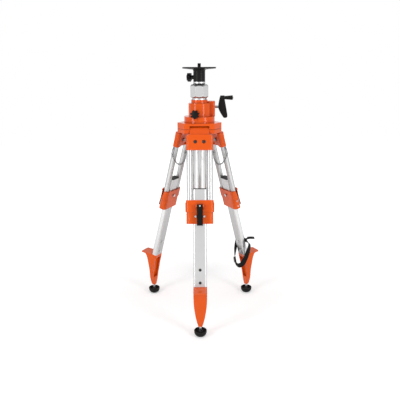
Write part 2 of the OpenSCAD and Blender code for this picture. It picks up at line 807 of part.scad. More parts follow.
module crank_arm() color(black) at_crank() difference() {
    intersection() {
        translate([0, arm_w / 2, 0]) rotate([90, 0, 0]) linear_extrude(arm_w) arm_side();
        translate([arm_foot - over, 0, 0]) rotate([90, 0, 90])
            linear_extrude(arm_depth + 2 * over) arm_face();
    }
    translate([arm_foot - over, 0, 0]) rotate([0, 90, 0])
        cylinder(h = shaft_end - arm_foot + over, d = shaft_d);
    translate([grip_foot - spindle_sink, 0, crank_r]) rotate([0, 90, 0])
        cylinder(h = arm_depth, d = spindle_d);
}

// The arm seen from the side, with its ends bent away from the housing
module arm_side() {
    ring = concat(arm_shares, [arm_shares[0]]);
    polygon(spline([for (p = ring) [arm_foot + p[0] * arm_depth, p[1] * arm_half]], 3));
}

// The arm seen along the shaft: a lens with round ends
module arm_face() {
    rise = (arm_w - arm_end_w) / 2;
    run = arm_half - arm_end_w / 2;
    side_r = (run * run + rise * rise) / (2 * rise);
    end_angle = asin(run / side_r);
    polygon(concat(
        arc([arm_w / 2 - side_r, 0], side_r, -end_angle, end_angle, 12),
        arc([0, run], arm_end_w / 2, 90 - end_angle, 90 + end_angle),
        arc([side_r - arm_w / 2, 0], side_r, 180 - end_angle, 180 + end_angle, 12),
        arc([0, -run], arm_end_w / 2, 270 - end_angle, 270 + end_angle)
    ));
}

// The grip's axis, from a length along the shaft
module at_grip(x) {
    at_crank() translate([x, 0, crank_r]) rotate([0, 90, 0]) children();
}

module grip_spindle() color(steel) at_grip(grip_foot - spindle_sink) {
    cylinder(h = spindle_sink + grip_len + gap, d = spindle_d);
    translate([0, 0, spindle_sink + grip_len + gap]) cylinder(h = spindle_head_h, d = spindle_head_d);
}

module crank_grip() color(black) at_grip(grip_foot + gap) difference() {
    rotate_extrude() polygon(concat(
        [[0, 0], [grip_root_d / 2, 0]],
        arc([grip_d / 2 - knob_crown, grip_len - gap - knob_crown], knob_crown, 0, 90),
        [[0, grip_len - gap]]
    ));
    translate([0, 0, -over]) cylinder(h = grip_len + 2 * over, d = spindle_d + 2 * fit);
}

// Upper legs

module tongue_outline() {
    polygon(concat(
        arc([0, 0], tongue_r, 0, 180, 16),
        [[leg_offset - bracket_t / 2, -bracket_top - socket_roof],
         [leg_offset + bracket_t / 4, -bracket_top - socket_roof]]
    ));
}

module bracket_face() {
    half = bracket_w / 2;
    polygon(concat(
        [[-half, -bracket_bottom], [half, -bracket_bottom]],
        arc([half - shoulder_r, -bracket_top - shoulder_r], shoulder_r, 0, 90),
        arc([shoulder_r - half, -bracket_top - shoulder_r], shoulder_r, 90, 180)
    ));
}

module leg_bracket() color(orange) difference() {
    union() {
        intersection() {
            leg_bar(bracket_top, bracket_bottom, bracket_t, bracket_w, bracket_corner);
            translate([leg_offset - bracket_t, 0, 0]) rotate([90, 0, 90])
                linear_extrude(2 * bracket_t) bracket_face();
        }
        across(tongue_w) tongue_outline();
    }
    translate([0, tongue_w, 0]) rotate([90, 0, 0]) cylinder(h = 2 * tongue_w, d = hinge_pin_d + 2 * fit);
    for (side = [-1, 1]) {
        bolt_y = side * bracket_bolt_gap / 2;
        leg_rod(tube_top, bracket_bottom + over, tube_d, side * tube_spread / 2);
        out_rod(leg_offset - bracket_t, leg_offset + bracket_t, bracket_bolt_d, bolt_y, bolt_row);
        out_rod(leg_offset + bracket_t / 2 - bolt_recess, leg_offset + bracket_t,
            bolt_recess_d, bolt_y, bolt_row);
    }
    // Arch in the inner web between the tubes
    web_w = tube_spread - tube_d - 2 * bracket_wall;
    translate([leg_offset - bracket_t / 2 - over, -web_w / 2, -bracket_bottom - over])
        cube([web_cut_depth + over, web_w, web_cut_h - bracket_wall + over]);
}

module tube_profile() {
    difference() {
        circle(d = tube_d);
        circle(d = tube_d - 2 * tube_wall);
        translate([tube_d / 2 - flute_depth, -flute_w / 2]) square([tube_d, flute_w]);
    }
}

module leg_tubes() color(silver) for (side = [-1, 1]) difference() {
    translate([leg_offset, side * tube_spread / 2, -tube_bottom])
        linear_extrude(tube_bottom - tube_top) tube_profile();
    eye_shank(side);
}

module leg_clamp() color(orange) difference() {
    union() {
        leg_bar(clamp_top, clamp_top + clamp_jaw_len, clamp_t, clamp_w, clamp_corner);
        leg_bar(clamp_top + clamp_jaw_len, clamp_bottom, clamp_lower_t, clamp_lower_w, clamp_corner);
        for (side = [-1, 1])
            translate([0, side * (lever_w / 2 + gap + lug_t / 2), 0]) across(lug_t) lug_outline();
    }
    for (side = [-1, 1]) leg_rod(clamp_top - over, tube_bottom, tube_d, side * tube_spread / 2);
    leg_bar(clamp_top - over, clamp_bottom + over, lower_t + 2 * gap, lower_w + 2 * gap, lower_corner);
    // The jaw stands free of the casting and higher than it
    across(2 * clamp_w) slit_outline();
    lever_axle(2 * clamp_w, lever_pin_d);
    for (side = [-1, 1]) out_rod(leg_offset + lower_t / 2, leg_offset + clamp_t, clamp_screw_d / 2,
        side * clamp_screw_y, clamp_screw_drop);
    out_rod(leg_offset - clamp_t, leg_offset - lower_t / 2 - gap, pad_screw_shank, 0, pad_screw_drop);
}

// A rod along the lever's axis
module lever_axle(length, d) {
    translate([lever_out, length / 2, -lever_drop]) rotate([90, 0, 0]) cylinder(h = length, d = d);
}

module lug_outline() {
    foot = leg_offset + clamp_t / 2 - jaw_t / 2;
    translate([lever_out, -lever_drop]) circle(lever_hub_r);
    polygon([
        [foot, -lever_drop + lever_hub_r],
        [lever_out, -lever_drop + lever_hub_r],
        [lever_out, -lever_drop - lever_hub_r],
        [foot, -lever_drop - lug_foot]
    ]);
}

module slit_outline() {
    jaw_back = leg_offset + clamp_t / 2 - jaw_t;
    polygon([
        [jaw_back, over - clamp_top],
        [jaw_back, -clamp_top - slit_len],
        [jaw_back - slit_w, -clamp_top - jaw_rise],
        [leg_offset - clamp_t, -clamp_top - jaw_rise],
        [leg_offset - clamp_t, over - clamp_top]
    ]);
}

module leg_bolts() color(steel) {
    for (side = [-1, 1]) {
        bolt_y = side * bracket_bolt_gap / 2;
        head_foot = leg_offset + bracket_t / 2 - bolt_recess;
        out_rod(leg_offset - bracket_t / 2 - nut_h, head_foot, bracket_bolt_d, bolt_y, bolt_row);
        out_rod(head_foot, head_foot + bolt_recess / 2, bolt_head_d, bolt_y, bolt_row);
        translate([leg_offset - bracket_t / 2 - nut_h, bolt_y, -bolt_row]) rotate([0, 90, 0])
            cylinder(h = nut_h, d = nut_d, $fn = 6);
        // Clamp screws beside the lever
        clamp_face = leg_offset + clamp_lower_t / 2;
        screw_foot = leg_offset + lower_t / 2 + 2 * gap;
        screw_y = side * clamp_screw_y;
        out_rod(clamp_face, clamp_face + clamp_screw_h, clamp_screw_d, screw_y, clamp_screw_drop);
        out_rod(screw_foot, clamp_face, clamp_screw_d / 2, screw_y, clamp_screw_drop);
        // Eyes that hold the chains
        translate([leg_offset, side * eye_y, -eye_drop]) rotate([0, 90, 0]) chain_eye();
        eye_shank(side);
    }
    // Lever pin and the screw that sets the clamp's grip
    lever_axle(lever_w + 2 * gap + 2 * lug_t, lever_pin_d);
    out_rod(leg_offset - clamp_t / 2 - pad_screw_h, leg_offset - clamp_t / 2, pad_screw_d, 0, pad_screw_drop);
    out_rod(leg_offset - clamp_t / 2, leg_offset - lower_t / 2 - 2 * gap, pad_screw_shank, 0, pad_screw_drop);
}

// The stem of an eye, through the tube's wall
module eye_shank(side) {
    tube_side = tube_spread / 2 + tube_d / 2;
    translate([leg_offset, side * (tube_side - tube_wall), -eye_drop]) rotate([-90 * side, 0, 0])
        cylinder(h = tube_wall + eye_y - tube_side - eye_r, d = link_wire);
}

module chain_eye() {
    rotate_extrude() translate([eye_r, 0]) circle(d = link_wire);
}

module clamp_lever() color(black) difference() {
    across(lever_w) {
        lever_cam_outline();
        lever_blade_outline();
    }
    lever_axle(2 * lever_w, lever_pin_d + 2 * fit);
}

// The round nose of the cam bears on the jaw
module lever_cam_outline() {
    for (reach = [0, lever_nose]) translate([lever_out - reach, -lever_drop]) circle(lever_hub_r);
    translate([lever_out - lever_nose, -lever_drop - lever_hub_r]) square([lever_nose, 2 * lever_hub_r]);
}

// The blade leaves the hub along the clamp and turns out towards its tip
module lever_blade_outline() {
    tip = -lever_drop + lever_hub_r - lever_len;
    bend = -lever_drop - lever_len / 2;
    front = lever_out + lever_hub_r;
    back = front - lever_t;
    turn = tip + lever_len / 5;
    inner = spline([
        [lever_out, -lever_drop], [back, bend], [back + lever_flare / 3, turn], [back + lever_flare, tip]
    ], 5);
    outer = spline([
        [back + lever_flare + lever_tip_t, tip], [back + lever_t + lever_flare / 3, turn],
        [back + lever_t, bend], [front, -lever_drop]
    ], 5);
    polygon(concat(inner, outer));
}

// Lower legs

module lower_leg() color(silver) difference() {
    leg_bar(lower_top + cap_h, leg_reach, lower_t, lower_w, lower_corner);
    leg_bar(lower_top + cap_h - over, leg_reach + over, lower_t - 2 * lower_wall, lower_w - 2 * lower_wall,
        lower_corner - lower_wall);
    foot_bolt_holes();
}

module foot_bolt_holes() {
    for (drop = foot_bolt_drops) out_rod(leg_offset - lower_t, leg_offset + lower_t, foot_bolt_d, 0, drop);
}

module lower_leg_cap() color(black) {
    leg_bar(lower_top, lower_top + cap_h, lower_t, lower_w, lower_corner);
    leg_bar(lower_top + cap_h, lower_top + 3 * cap_h, lower_t - 2 * lower_wall - 2 * fit,
        lower_w - 2 * lower_wall - 2 * fit, lower_corner - lower_wall);
}

function foot_half_w(down) = down <= foot_straight ? lower_w / 2 :
    lower_w / 2 - foot_arc_r + sqrt(foot_arc_r * foot_arc_r - pow(down - foot_straight, 2));

// The casting from the front, narrowed by an inset for its open back
module foot_front(inset, length) {
    steps = 16;
    downs = concat([-foot_lap], [for (i = [0 : steps]) length * i / steps]);
    right = [for (d = downs) [foot_half_w(d) - inset, -d]];
    left = [for (i = [len(right) - 1 : -1 : 0]) [-right[i][0], right[i][1]]];
    polygon(concat(right, left));
}

// The casting from the side, outward to the right
module foot_side() {
    face = lower_t / 2;
    under = [for (p = pedal_under_shares) [face + p[0] * pedal_reach, -p[1] * foot_len]];
    pedal_tip = [face + pedal_reach, -pedal_fall - pedal_tip_t];
    back = [for (p = foot_back_shares) [p[0] * face, -p[1] * foot_len]];
    polygon(concat(
        [[-face, foot_lap], [face, foot_lap], [face, 0], [face + pedal_reach, -pedal_fall]],
        spline(concat([pedal_tip], under, [[foot_tip_t / 2, -foot_len]]), 3),
        spline(concat([[-foot_tip_t / 2, -foot_len]], back), 3)
    ));
}

// The casting from above, with round corners
module foot_plan() {
    half = lower_w / 2;
    face = lower_t / 2;
    tip = face + pedal_reach;
    polygon(concat(
        arc([-face + lower_corner, -half + lower_corner], lower_corner, 180, 270),
        arc([tip - lower_corner, -half + lower_corner], lower_corner, -90, 0),
        arc([tip - lower_corner, half - lower_corner], lower_corner, 0, 90),
        arc([-face + lower_corner, half - lower_corner], lower_corner, 90, 180)
    ));
}

module foot_casting() color(orange) difference() {
    union() {
        difference() {
            at_foot() intersection() {
                across(lower_w + 2 * over) foot_side();
                translate([-lower_t, 0, 0]) rotate([90, 0, 90])
                    linear_extrude(2 * lower_t + pedal_reach) foot_front(0, foot_len);
                translate([0, 0, -foot_len]) linear_extrude(foot_len + foot_lap) foot_plan();
            }
            translate([leg_offset - lower_w, -lower_w, -leg_reach])
                cube([3 * lower_w, 2 * lower_w, foot_len]);
            // Open back
            at_foot() translate([-lower_t, 0, 0]) rotate([90, 0, 90])
                linear_extrude(3 * lower_t / 2 - foot_web) intersection() {
                    foot_front(foot_wall, channel_len);
                    translate([-lower_w / 2, -channel_len])
                        square([lower_w, channel_len - foot_lap - foot_wall]);
                }
        }
        leg_bar(leg_reach - tang_len, leg_reach + foot_lap / 2, lower_t - 2 * lower_wall - 2 * fit,
            lower_w - 2 * lower_wall - 2 * fit, lower_corner - lower_wall);
    }
    foot_bolt_holes();
    translate([leg_offset, 0, -leg_reach]) rotate([0, leg_tilt, 0])
        translate([foot_r - foot_top_r, 0, -foot_len * cos(foot_tilt) - over])
        cylinder(h = spike_head + over, d = spike_d);
}

// The upper bolt's head is raised where it holds the strap
module foot_bolts(raise) color(steel) for (i = [0, 1]) {
    inner = leg_offset - lower_t / 2 - foot_bolt_head_h;
    outer = leg_offset + lower_t / 2 + (i == 0 ? raise : 0);
    drop = foot_bolt_drops[i];
    out_rod(inner, outer, foot_bolt_d, 0, drop);
    out_rod(inner, inner + foot_bolt_head_h, foot_bolt_head_d, 0, drop);
    out_rod(outer, outer + foot_bolt_head_h, foot_bolt_head_d, 0, drop);
}

module foot_spike() color(steel)
    translate([0, 0, spike_foot]) cylinder(h = foot_tip_h + spike_head - spike_foot, d = spike_d);

module foot_pad() color(rubber) difference() {
    rotate_extrude() polygon(concat(
        [[0, 0], [pad_sole_r, 0]],
        [for (i = [0 : 10]) let (a = 90 * i / 10) [
            pad_sole_r + (pad_d / 2 - pad_sole_r) * sin(a), (pad_h - pad_band) * (1 - cos(a))]],
        [[pad_d / 2, pad_h - edge_chamfer], [pad_d / 2 - edge_chamfer, pad_h], [pad_d / 2 - pad_lip, pad_h]],
        [for (i = [0 : 6]) let (a = 90 * i / 6) [
            pad_boss_r + (pad_d / 2 - pad_lip - pad_boss_r) * cos(a), pad_h - pad_hollow * sin(a)]],
        [[pad_boss_r, pad_boss_h], [0, pad_boss_h]]
    ));
    translate([0, 0, spike_foot - gap]) cylinder(h = pad_h, d = spike_d + 2 * fit);
}

// Chains

function cosh(x) = (exp(x) + exp(-x)) / 2;
function sinh(x) = (exp(x) - exp(-x)) / 2;
function asinh(x) = ln(x + sqrt(x * x + 1));

// Catenary constant for a span and a length, by halving
function catenary(span, length, low, high, turns = 40) = let (mid = (low + high) / 2)
    turns == 0 ? mid :
    2 * mid * sinh(span / (2 * mid)) > length ? catenary(span, length, mid, high, turns - 1)
                                              : catenary(span, length, low, mid, turns - 1);

// A long link round the X axis, half as long as given and with the given bend at its ends
module link(half, bend_r) {
    for (side = [-1, 1]) {
        translate([side * (half - bend_r), 0, 0]) rotate([0, 0, -90 * side])
            rotate_extrude(angle = 180) translate([bend_r, 0]) circle(d = link_wire);
        translate([bend_r - half, side * bend_r, 0]) rotate([0, 90, 0])
            cylinder(h = 2 * (half - bend_r), d = link_wire);
    }
}

// The chain from a leg at bearing 0 to the next leg, between two of its links
module chain_links(first, last) {
    start = [chain_anchor_r, eye_y, chain_anchor_z];
    finish = [
        chain_anchor_r * cos(120) + eye_y * sin(120),
        chain_anchor_r * sin(120) - eye_y * cos(120),
        chain_anchor_z
    ];
    span = norm(finish - start);
    turn = atan2(finish[1] - start[1], finish[0] - start[0]);
    a = catenary(span, chain_len - link_wire - 2 * end_play, span / 10, 10 * span);
    for (i = [first : last]) {
        s = (i + 1 / 2) * link_pitch - chain_len / 2;
        x = a * asinh(s / a);
        drop = a * (cosh(span / (2 * a)) - cosh(x / a));
        translate((start + finish) / 2 - [0, 0, drop])
            rotate([0, 0, turn])
            translate([x, 0, 0])
            rotate([0, -atan(s / a), 0])
            rotate([90 * ((i + 1) % 2), 0, 0])
            link(link_half, link_bend_r);
    }
}

module chain_of_leg(bearing) color(steel) {
    rotate([0, 0, bearing]) chain_links(0, chain_mid);
    rotate([0, 0, bearing - 120]) chain_links(chain_mid + 1, link_count - 1);
    at_leg(bearing) for (side = [-1, 1])
        translate([leg_offset, side * eye_y, -(end_ring_top + chain_drop) / 2])
            rotate([0, 0, side * end_ring_turn])
            rotate([0, 90, 0])
            rotate([90, 0, 0])
            link(end_ring_half, end_ring_bend_r);
}

// Strap

// Rows of the strap: outward, across and up the leg, the way it faces in degrees, and how far it lies flat
function strap_row(p) =
    [leg_offset + p[0] * lower_t, p[1] * lower_w, -foot_bolt_drops[0] - p[2] * foot_len, p[3], p[4]];

function strap_lap(layer, facing, order) = let (out = leg_offset + strap_out + layer * strap_lay)
    [for (share = order) [out, share * lower_w, -foot_bolt_drops[0], facing, 0]];

function strap_rows() = concat(
    strap_lap(0, 0, strap_lap_shares),
    [for (p = strap_loop_shares) strap_row(p)],
    strap_lap(1, -360, [for (share = strap_lap_shares) share + 1 / 10]),
    [for (p = strap_tail_shares) strap_row(p)]
);

// Directions along the strap, across it and square to it at a row of a run
function strap_axes(run, i) = let (
    last = len(run) - 1,
    place = [for (row = run) [row[0], row[1], row[2]]],
    along = unit(place[min(i + 1, last)] - place[max(i - 1, 0)]),
    row = run[i],
    facing = (1 - row[4]) * [cos(row[3]), sin(row[3]), 0] + row[4] * [0, 0, 1],
    square = unit(facing - (facing * along) * along)
) [along, cross(square, along), square];

module strap() color(black) at_leg(LEGS[1][1]) {
    run = spline(strap_rows(), strap_steps);
    last = len(run) - 1;
    corners = [for (i = [0 : last]) let (axes = strap_axes(run, i)) each [
        for (c = [[-1, -1], [1, -1], [1, 1], [-1, 1]])
            [run[i][0], run[i][1], run[i][2]] + c[0] * strap_w / 2 * axes[1] + c[1] * strap_t / 2 * axes[2]
    ]];
    sides = [for (i = [0 : last - 1], k = [0 : 3]) let (p = 4 * i + k, q = 4 * i + (k + 1) % 4) each [
        [p, p + 4, q + 4], [p, q + 4, q]
    ]];
    end = 4 * last;
    ends = [[0, 1, 2], [0, 2, 3], [end, end + 2, end + 1], [end, end + 3, end + 2]];
    polyhedron(corners, concat(sides, ends));
}

module strap_buckle() color(black) at_leg(LEGS[1][1]) {
    rows = strap_rows();
    axes = strap_axes(rows, strap_buckle_row);
    at = rows[strap_buckle_row];
    multmatrix([
        [axes[0][0], axes[1][0], axes[2][0], at[0]],
        [axes[0][1], axes[1][1], axes[2][1], at[1]],
        [axes[0][2], axes[1][2], axes[2][2], at[2]]
    ]) difference() {
        translate([-buckle_len / 2, 0, 0]) rotate([90, 0, 90]) linear_extrude(buckle_len)
            rounded_rect(buckle_w, buckle_t, buckle_t / 4);
        cube([buckle_len + 2 * over, strap_w + over, buckle_slot_t], center = true);
    }
}

head_upper();
head_lower();
hinge_pins();
gear_housing();
gear_cover();
housing_screws();
column_bushes();
column_tube();
column_rack();
column_head();
column_caps();
platform();
instrument_bolt();
platform_knob();
platform_knob_stud();
column_knob();
column_knob_stud();
crank_shaft();
pinion();
crank_arm();
grip_spindle();
crank_grip();
strap();
strap_buckle();

for (leg = LEGS) {
    at_leg(leg[1]) leg_bracket();
    at_leg(leg[1]) leg_tubes();
    at_leg(leg[1]) leg_clamp();
    at_leg(leg[1]) leg_bolts();
    at_leg(leg[1]) clamp_lever();
    at_leg(leg[1]) lower_leg();
    at_leg(leg[1]) lower_leg_cap();
    at_leg(leg[1]) foot_casting();
    at_leg(leg[1]) foot_bolts(leg == LEGS[1] ? 2 * strap_lay : 0);
    at_spike(leg[1]) foot_spike();
    at_spike(leg[1]) foot_pad();
    chain_of_leg(leg[1]);
}
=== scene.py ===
"""Looks of the elevating tripod: camera, light, materials and the fine pieces that the solids leave out."""
import json
from math import asinh, atan, atan2, ceil, cos, cosh, pi, radians, sin, sinh

import bmesh
import bpy
from mathutils import Matrix, Vector


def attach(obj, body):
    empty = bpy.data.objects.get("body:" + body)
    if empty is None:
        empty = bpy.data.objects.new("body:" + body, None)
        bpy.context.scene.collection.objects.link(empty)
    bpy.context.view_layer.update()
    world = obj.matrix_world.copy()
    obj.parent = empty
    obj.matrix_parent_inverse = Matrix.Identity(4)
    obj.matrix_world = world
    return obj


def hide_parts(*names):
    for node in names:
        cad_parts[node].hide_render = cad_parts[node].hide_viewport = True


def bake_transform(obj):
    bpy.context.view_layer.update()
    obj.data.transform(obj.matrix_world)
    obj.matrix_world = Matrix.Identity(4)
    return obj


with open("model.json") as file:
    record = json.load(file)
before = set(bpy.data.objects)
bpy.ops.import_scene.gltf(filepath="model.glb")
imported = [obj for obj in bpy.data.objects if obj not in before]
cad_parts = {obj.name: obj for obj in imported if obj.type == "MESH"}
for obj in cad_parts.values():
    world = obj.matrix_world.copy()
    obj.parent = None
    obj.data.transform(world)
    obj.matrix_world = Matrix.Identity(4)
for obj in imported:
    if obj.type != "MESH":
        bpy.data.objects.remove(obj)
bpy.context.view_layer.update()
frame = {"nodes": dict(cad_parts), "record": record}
nodes = frame["nodes"]
scene = bpy.context.scene

# Sizes of the solids, in metres
LEGS = {"front": radians(-90), "right": radians(30), "left": radians(150)}
LEG_SPACING = radians(120)
LEG_TILT = radians(15.4)
LEG_REACH = 0.700
LEG_OFFSET = 0.0175
FOOT_LEN = 0.184
FOOT_BEND = radians(7.5)
FOOT_TIP_H = 0.0475
HINGE_R = 0.058
HINGE_Z = (FOOT_TIP_H + FOOT_LEN * cos(LEG_TILT - FOOT_BEND) + LEG_REACH * cos(LEG_TILT)
           - LEG_OFFSET * sin(LEG_TILT))
BRACKET_T = 0.0299
BRACKET_BOLT_Y = 0.019
BRACKET_BOLT_DROP = 0.059
BRACKET_HEAD_SINK = 0.002
CLAMP_T = 0.040
CLAMP_LOWER_T = 0.038
CLAMP_LOWER_W = 0.120
CLAMP_SCREW_Y = 0.0185
CLAMP_SCREW_DROP = 0.388
CLAMP_HEAD_H = 0.003
GRIP_HEAD_H = 0.004
GRIP_SCREW_DROP = 0.353
LEVER_OUT = 0.054
LEVER_DROP = 0.341
LEVER_HUB_R = 0.0065
LOWER_T = 0.028
LOWER_W = 0.060
FOOT_BOLT_DROPS = (0.624, 0.681)
FOOT_BOLT_HEAD_H = 0.004
PLATFORM_RISE = 0.2674
PLATFORM_TOP = HINGE_Z + PLATFORM_RISE
INCH = 0.0254
BOLT_R = 5 / 16 * INCH
BOLT_H = 0.016
BOLT_SEAT = 0.002
THREADS_PER_INCH = 11
THREAD_PITCH = INCH / THREADS_PER_INCH

# Sizes of the chains
LINK_WIRE = 0.0024
LINK_PITCH = 0.0117
LINK_COUNT = 13
LINK_HALF = 0.0072
LINK_BEND_R = 0.0031
END_PLAY = 0.0002
EYE_Y = 0.06475
CHAIN_DROP = 0.133
END_RING_TOP = 0.1026
END_RING_BEND_R = 0.004
END_RING_TURN = radians(50)
SPAN_ROOM = 10
HALVINGS = 60

# Sizes of the strap. Its places are shares of the lower leg's depth outward, of its width across and of the
# foot's length down, then the way it faces in degrees and how far it lies flat
STRAP_W = 0.025
STRAP_T = 0.0018
STRAP_LAY = 0.0019
STRAP_LOOP_SHARES = (
    (0.57, -0.42, -0.01, -10, 0), (0.66, -0.84, 0.08, -55, 0), (-0.05, -0.9, 0.26, -92, 0),
    (-0.77, -0.81, 0.44, -113, 0), (-1.48, -0.61, 0.6, -138, 0), (-1.91, -0.26, 0.66, -163, 0),
    (-1.91, 0.1, 0.62, -185, 0), (-1.75, 0.26, 0.54, -199, 0), (-1.5, 0.34, 0.46, -209, 0),
    (-0.77, 0.58, 0.31, -242, 0), (-0.05, 0.65, 0.14, -268, 0), (0.43, 0.57, 0.03, -310, 0))
STRAP_TAIL_SHARES = (
    (0.95, -0.44, -0.05, -400, 0.75), (1.5, -0.6, -0.04, -400, 1), (2.1, -0.76, -0.01, -400, 1))
STRAP_LAP_SHARES = (0.2, 0, -0.22)
STRAP_LAP_SHIFT_SHARE = 0.1
STRAP_STEPS = 10
BAND_SHARES = (-1, -0.97, -0.8, -0.4, 0, 0.4, 0.8, 0.97, 1)
BAND_EDGE_SHARE = 0.5

# Radius and height of the domed screw heads, how deep some of them sink, and their facets
BRACKET_SCREW = (0.0064, 0.0016)
CLAMP_SCREW = (0.0045, 0.0012)
GRIP_SCREW = (0.007, 0.0015)
SIDE_SCREW = (0.0038, 0.0014)
SIDE_SCREW_DROPS = (0.380, 0.407)
SIDE_SCREW_SINK = 0.0004
FOOT_SCREW = (0.0065, 0.0016)
LEVER_RIVET = (0.0035, 0.0014)
RIVET_SINK = 0.0002
SOCKET_RIM_SHARE = 1.15
SCREW_STEPS = 48
DOME_STEPS = 6
SHARP_ANGLE = radians(38)

# Thread of the instrument bolt
BOLT_CHAMFER = 0.0018
THREAD_DEPTH_SHARE = 0.61
THREAD_DEPTH = THREAD_DEPTH_SHARE * THREAD_PITCH
THREAD_CREST_SHARE = 1.25
THREAD_FLANK_SHARE = 2.75
THREAD_STEPS = 72
ROWS_PER_PITCH = 16

# Depths of grain and radii of edges in the materials
# Reach of the painted shade that darkens the paint where other surfaces are close by
PAINTED_SHADE_REACH = 0.012
# Edge radius where the paint is painted lighter, as wear and as a painted highlight
PAINT_WEAR_AND_HIGHLIGHT = 0.0009
PAINT_BEVEL = 0.0012
PAINT_PEEL = 0.0003
SPLIT_LINE_H = 0.002
METAL_BEVEL = 0.0006
METAL_LINE = 0.0002
STEEL_BEVEL = 0.0004
STEEL_GRAIN = 0.0001
# Edge radius where the black is painted paler, as wear and as a painted highlight
BLACK_WEAR_AND_HIGHLIGHT = 0.0006
BLACK_BEVEL = 0.0006
COATING_GRAIN = 0.0002
PLASTIC_GRAIN = 0.0003
RUBBER_GRAIN = 0.0005
WEAVE_DEPTH = 0.0004

# Colours
ORANGE_DEEP = (0.85, 0.1, 0.001)
ORANGE_BRIGHT = (0.92, 0.116, 0.002)
# Lighter orange for the edges: worn paint and a painted highlight
ORANGE_WORN_AND_LIT = (0.95, 0.19, 0.04)
SPLIT_SHADE = (0.2, 0.018, 0.001)
COATING_BLACK = (0.011, 0.0105, 0.01)
PLASTIC_BLACK = (0.008, 0.0072, 0.0068)
RUBBER_BLACK = (0.011, 0.0105, 0.01)
# Paler black for the edges: wear and a painted highlight
BLACK_WORN_AND_LIT = (0.03, 0.03, 0.031)
WEBBING_DARK = (0.006, 0.006, 0.006)
WEBBING_LIGHT = (0.016, 0.016, 0.016)
METAL_EDGE = (0.5, 0.5, 0.51)
FLOOR_DARK = (0.92, 0.92, 0.92)
FLOOR_LIGHT = (0.94, 0.94, 0.94)
WHITE = (1, 1, 1)

# Sockets of a node that mixes colours
MIX_FIRST = 6
MIX_SECOND = 7
MIX_RESULT = 2

# Camera, lamps and floor
CAMERA_PLACE = (0.0008, -2.132, 1.1625)
CAMERA_PITCH = radians(15.9)
CAMERA_ROLL = radians(-0.27)
CAMERA_LENS = 41.67
CAMERA_SENSOR = 36
LAMP_TARGET = (0, 0, 0.65)
SIDE_LAMP_SIZE = (0.75, 1.7)
SIDE_LAMP_POWER = 23
LEFT_LAMP_PLACE = (-1.93, -1.74, 1.3)
RIGHT_LAMP_PLACE = (1.81, -1.87, 1.3)
TOP_LAMP_PLACE = (0, -0.3, 3.0)
TOP_LAMP_SIZE = (1.8, 1.8)
TOP_LAMP_POWER = 14
SKY_LIGHT = 0.38
FLOOR_R = 6
FLOOR_NEAR = 0.45
FLOOR_FAR = 1.6
FLOOR_GLOW_NEAR = 0.38
FLOOR_GLOW_FAR = 0.9


def leg_frame(bearing):
    """From a leg's own axes, outward, across and up the leg, to the part's frame."""
    return (Matrix.Rotation(bearing, 4, "Z") @ Matrix.Translation((HINGE_R, 0, HINGE_Z))
            @ Matrix.Rotation(-LEG_TILT, 4, "Y"))


# Building blocks of the materials

def new_material(name, colour, metallic, roughness):
    mat = bpy.data.materials.new(name)
    mat.use_nodes = True
    shader = mat.node_tree.nodes["Principled BSDF"]
    shader.inputs["Base Color"].default_value = (*colour, 1)
    shader.inputs["Metallic"].default_value = metallic
    shader.inputs["Roughness"].default_value = roughness
    return mat, shader


def add(mat, kind, **values):
    node = mat.node_tree.nodes.new(kind)
    for name, value in values.items():
        setattr(node, name, value)
    return node


def wire(mat, source, target):
    mat.node_tree.links.new(source, target)


def noise(mat, scale, detail=3.0, stretch=(1, 1, 1), turn=(0, 0, 0)):
    """Noise in the part's own axes, stretched along a turned direction."""
    coords = add(mat, "ShaderNodeTexCoord")
    mapping = add(mat, "ShaderNodeMapping", vector_type="TEXTURE")
    mapping.inputs["Rotation"].default_value = turn
    mapping.inputs["Scale"].default_value = stretch
    texture = add(mat, "ShaderNodeTexNoise")
    texture.inputs["Scale"].default_value = scale
    texture.inputs["Detail"].default_value = detail
    wire(mat, coords.outputs["Object"], mapping.inputs["Vector"])
    wire(mat, mapping.outputs["Vector"], texture.inputs["Vector"])
    return texture.outputs["Fac"]


def map_range(mat, value, from_min, from_max, to_min=0.0, to_max=1.0):
    node = add(mat, "ShaderNodeMapRange")
    node.inputs["From Min"].default_value = from_min
    node.inputs["From Max"].default_value = from_max
    node.inputs["To Min"].default_value = to_min
    node.inputs["To Max"].default_value = to_max
    wire(mat, value, node.inputs["Value"])
    return node.outputs["Result"]


def spread(mat, value, low, high):
    """A noise value, which mostly lies between 0.3 and 0.7, spread over a range."""
    return map_range(mat, value, from_min=0.3, from_max=0.7, to_min=low, to_max=high)


def mix_colours(mat, value, first, second):
    node = add(mat, "ShaderNodeMix", data_type="RGBA")
    wire(mat, value, node.inputs["Factor"])
    for slot, colour in ((MIX_FIRST, first), (MIX_SECOND, second)):
        if hasattr(colour, "node"):
            wire(mat, colour, node.inputs[slot])
        else:
            node.inputs[slot].default_value = (*colour, 1)
    return node.outputs[MIX_RESULT]


def rounded_normal(mat, radius):
    node = add(mat, "ShaderNodeBevel", samples=4)
    node.inputs["Radius"].default_value = radius
    return node.outputs["Normal"]


def edges(mat, radius):
    """A share that is 1 along sharp edges and 0 on flats."""
    geometry = add(mat, "ShaderNodeNewGeometry")
    match = add(mat, "ShaderNodeVectorMath", operation="DOT_PRODUCT")
    wire(mat, geometry.outputs["Normal"], match.inputs[0])
    wire(mat, rounded_normal(mat, radius), match.inputs[1])
    return map_range(mat, match.outputs["Value"], from_min=0.995, from_max=0.9)


def painted_crevice_shade(mat, colour, reach, depth):
    """The colour, darkened as painted shade where other surfaces are close by."""
    hollow = add(mat, "ShaderNodeAmbientOcclusion", samples=8)
    hollow.inputs["Distance"].default_value = reach
    return mix_colours(mat, hollow.outputs["AO"], tuple(depth * c for c in colour), colour)


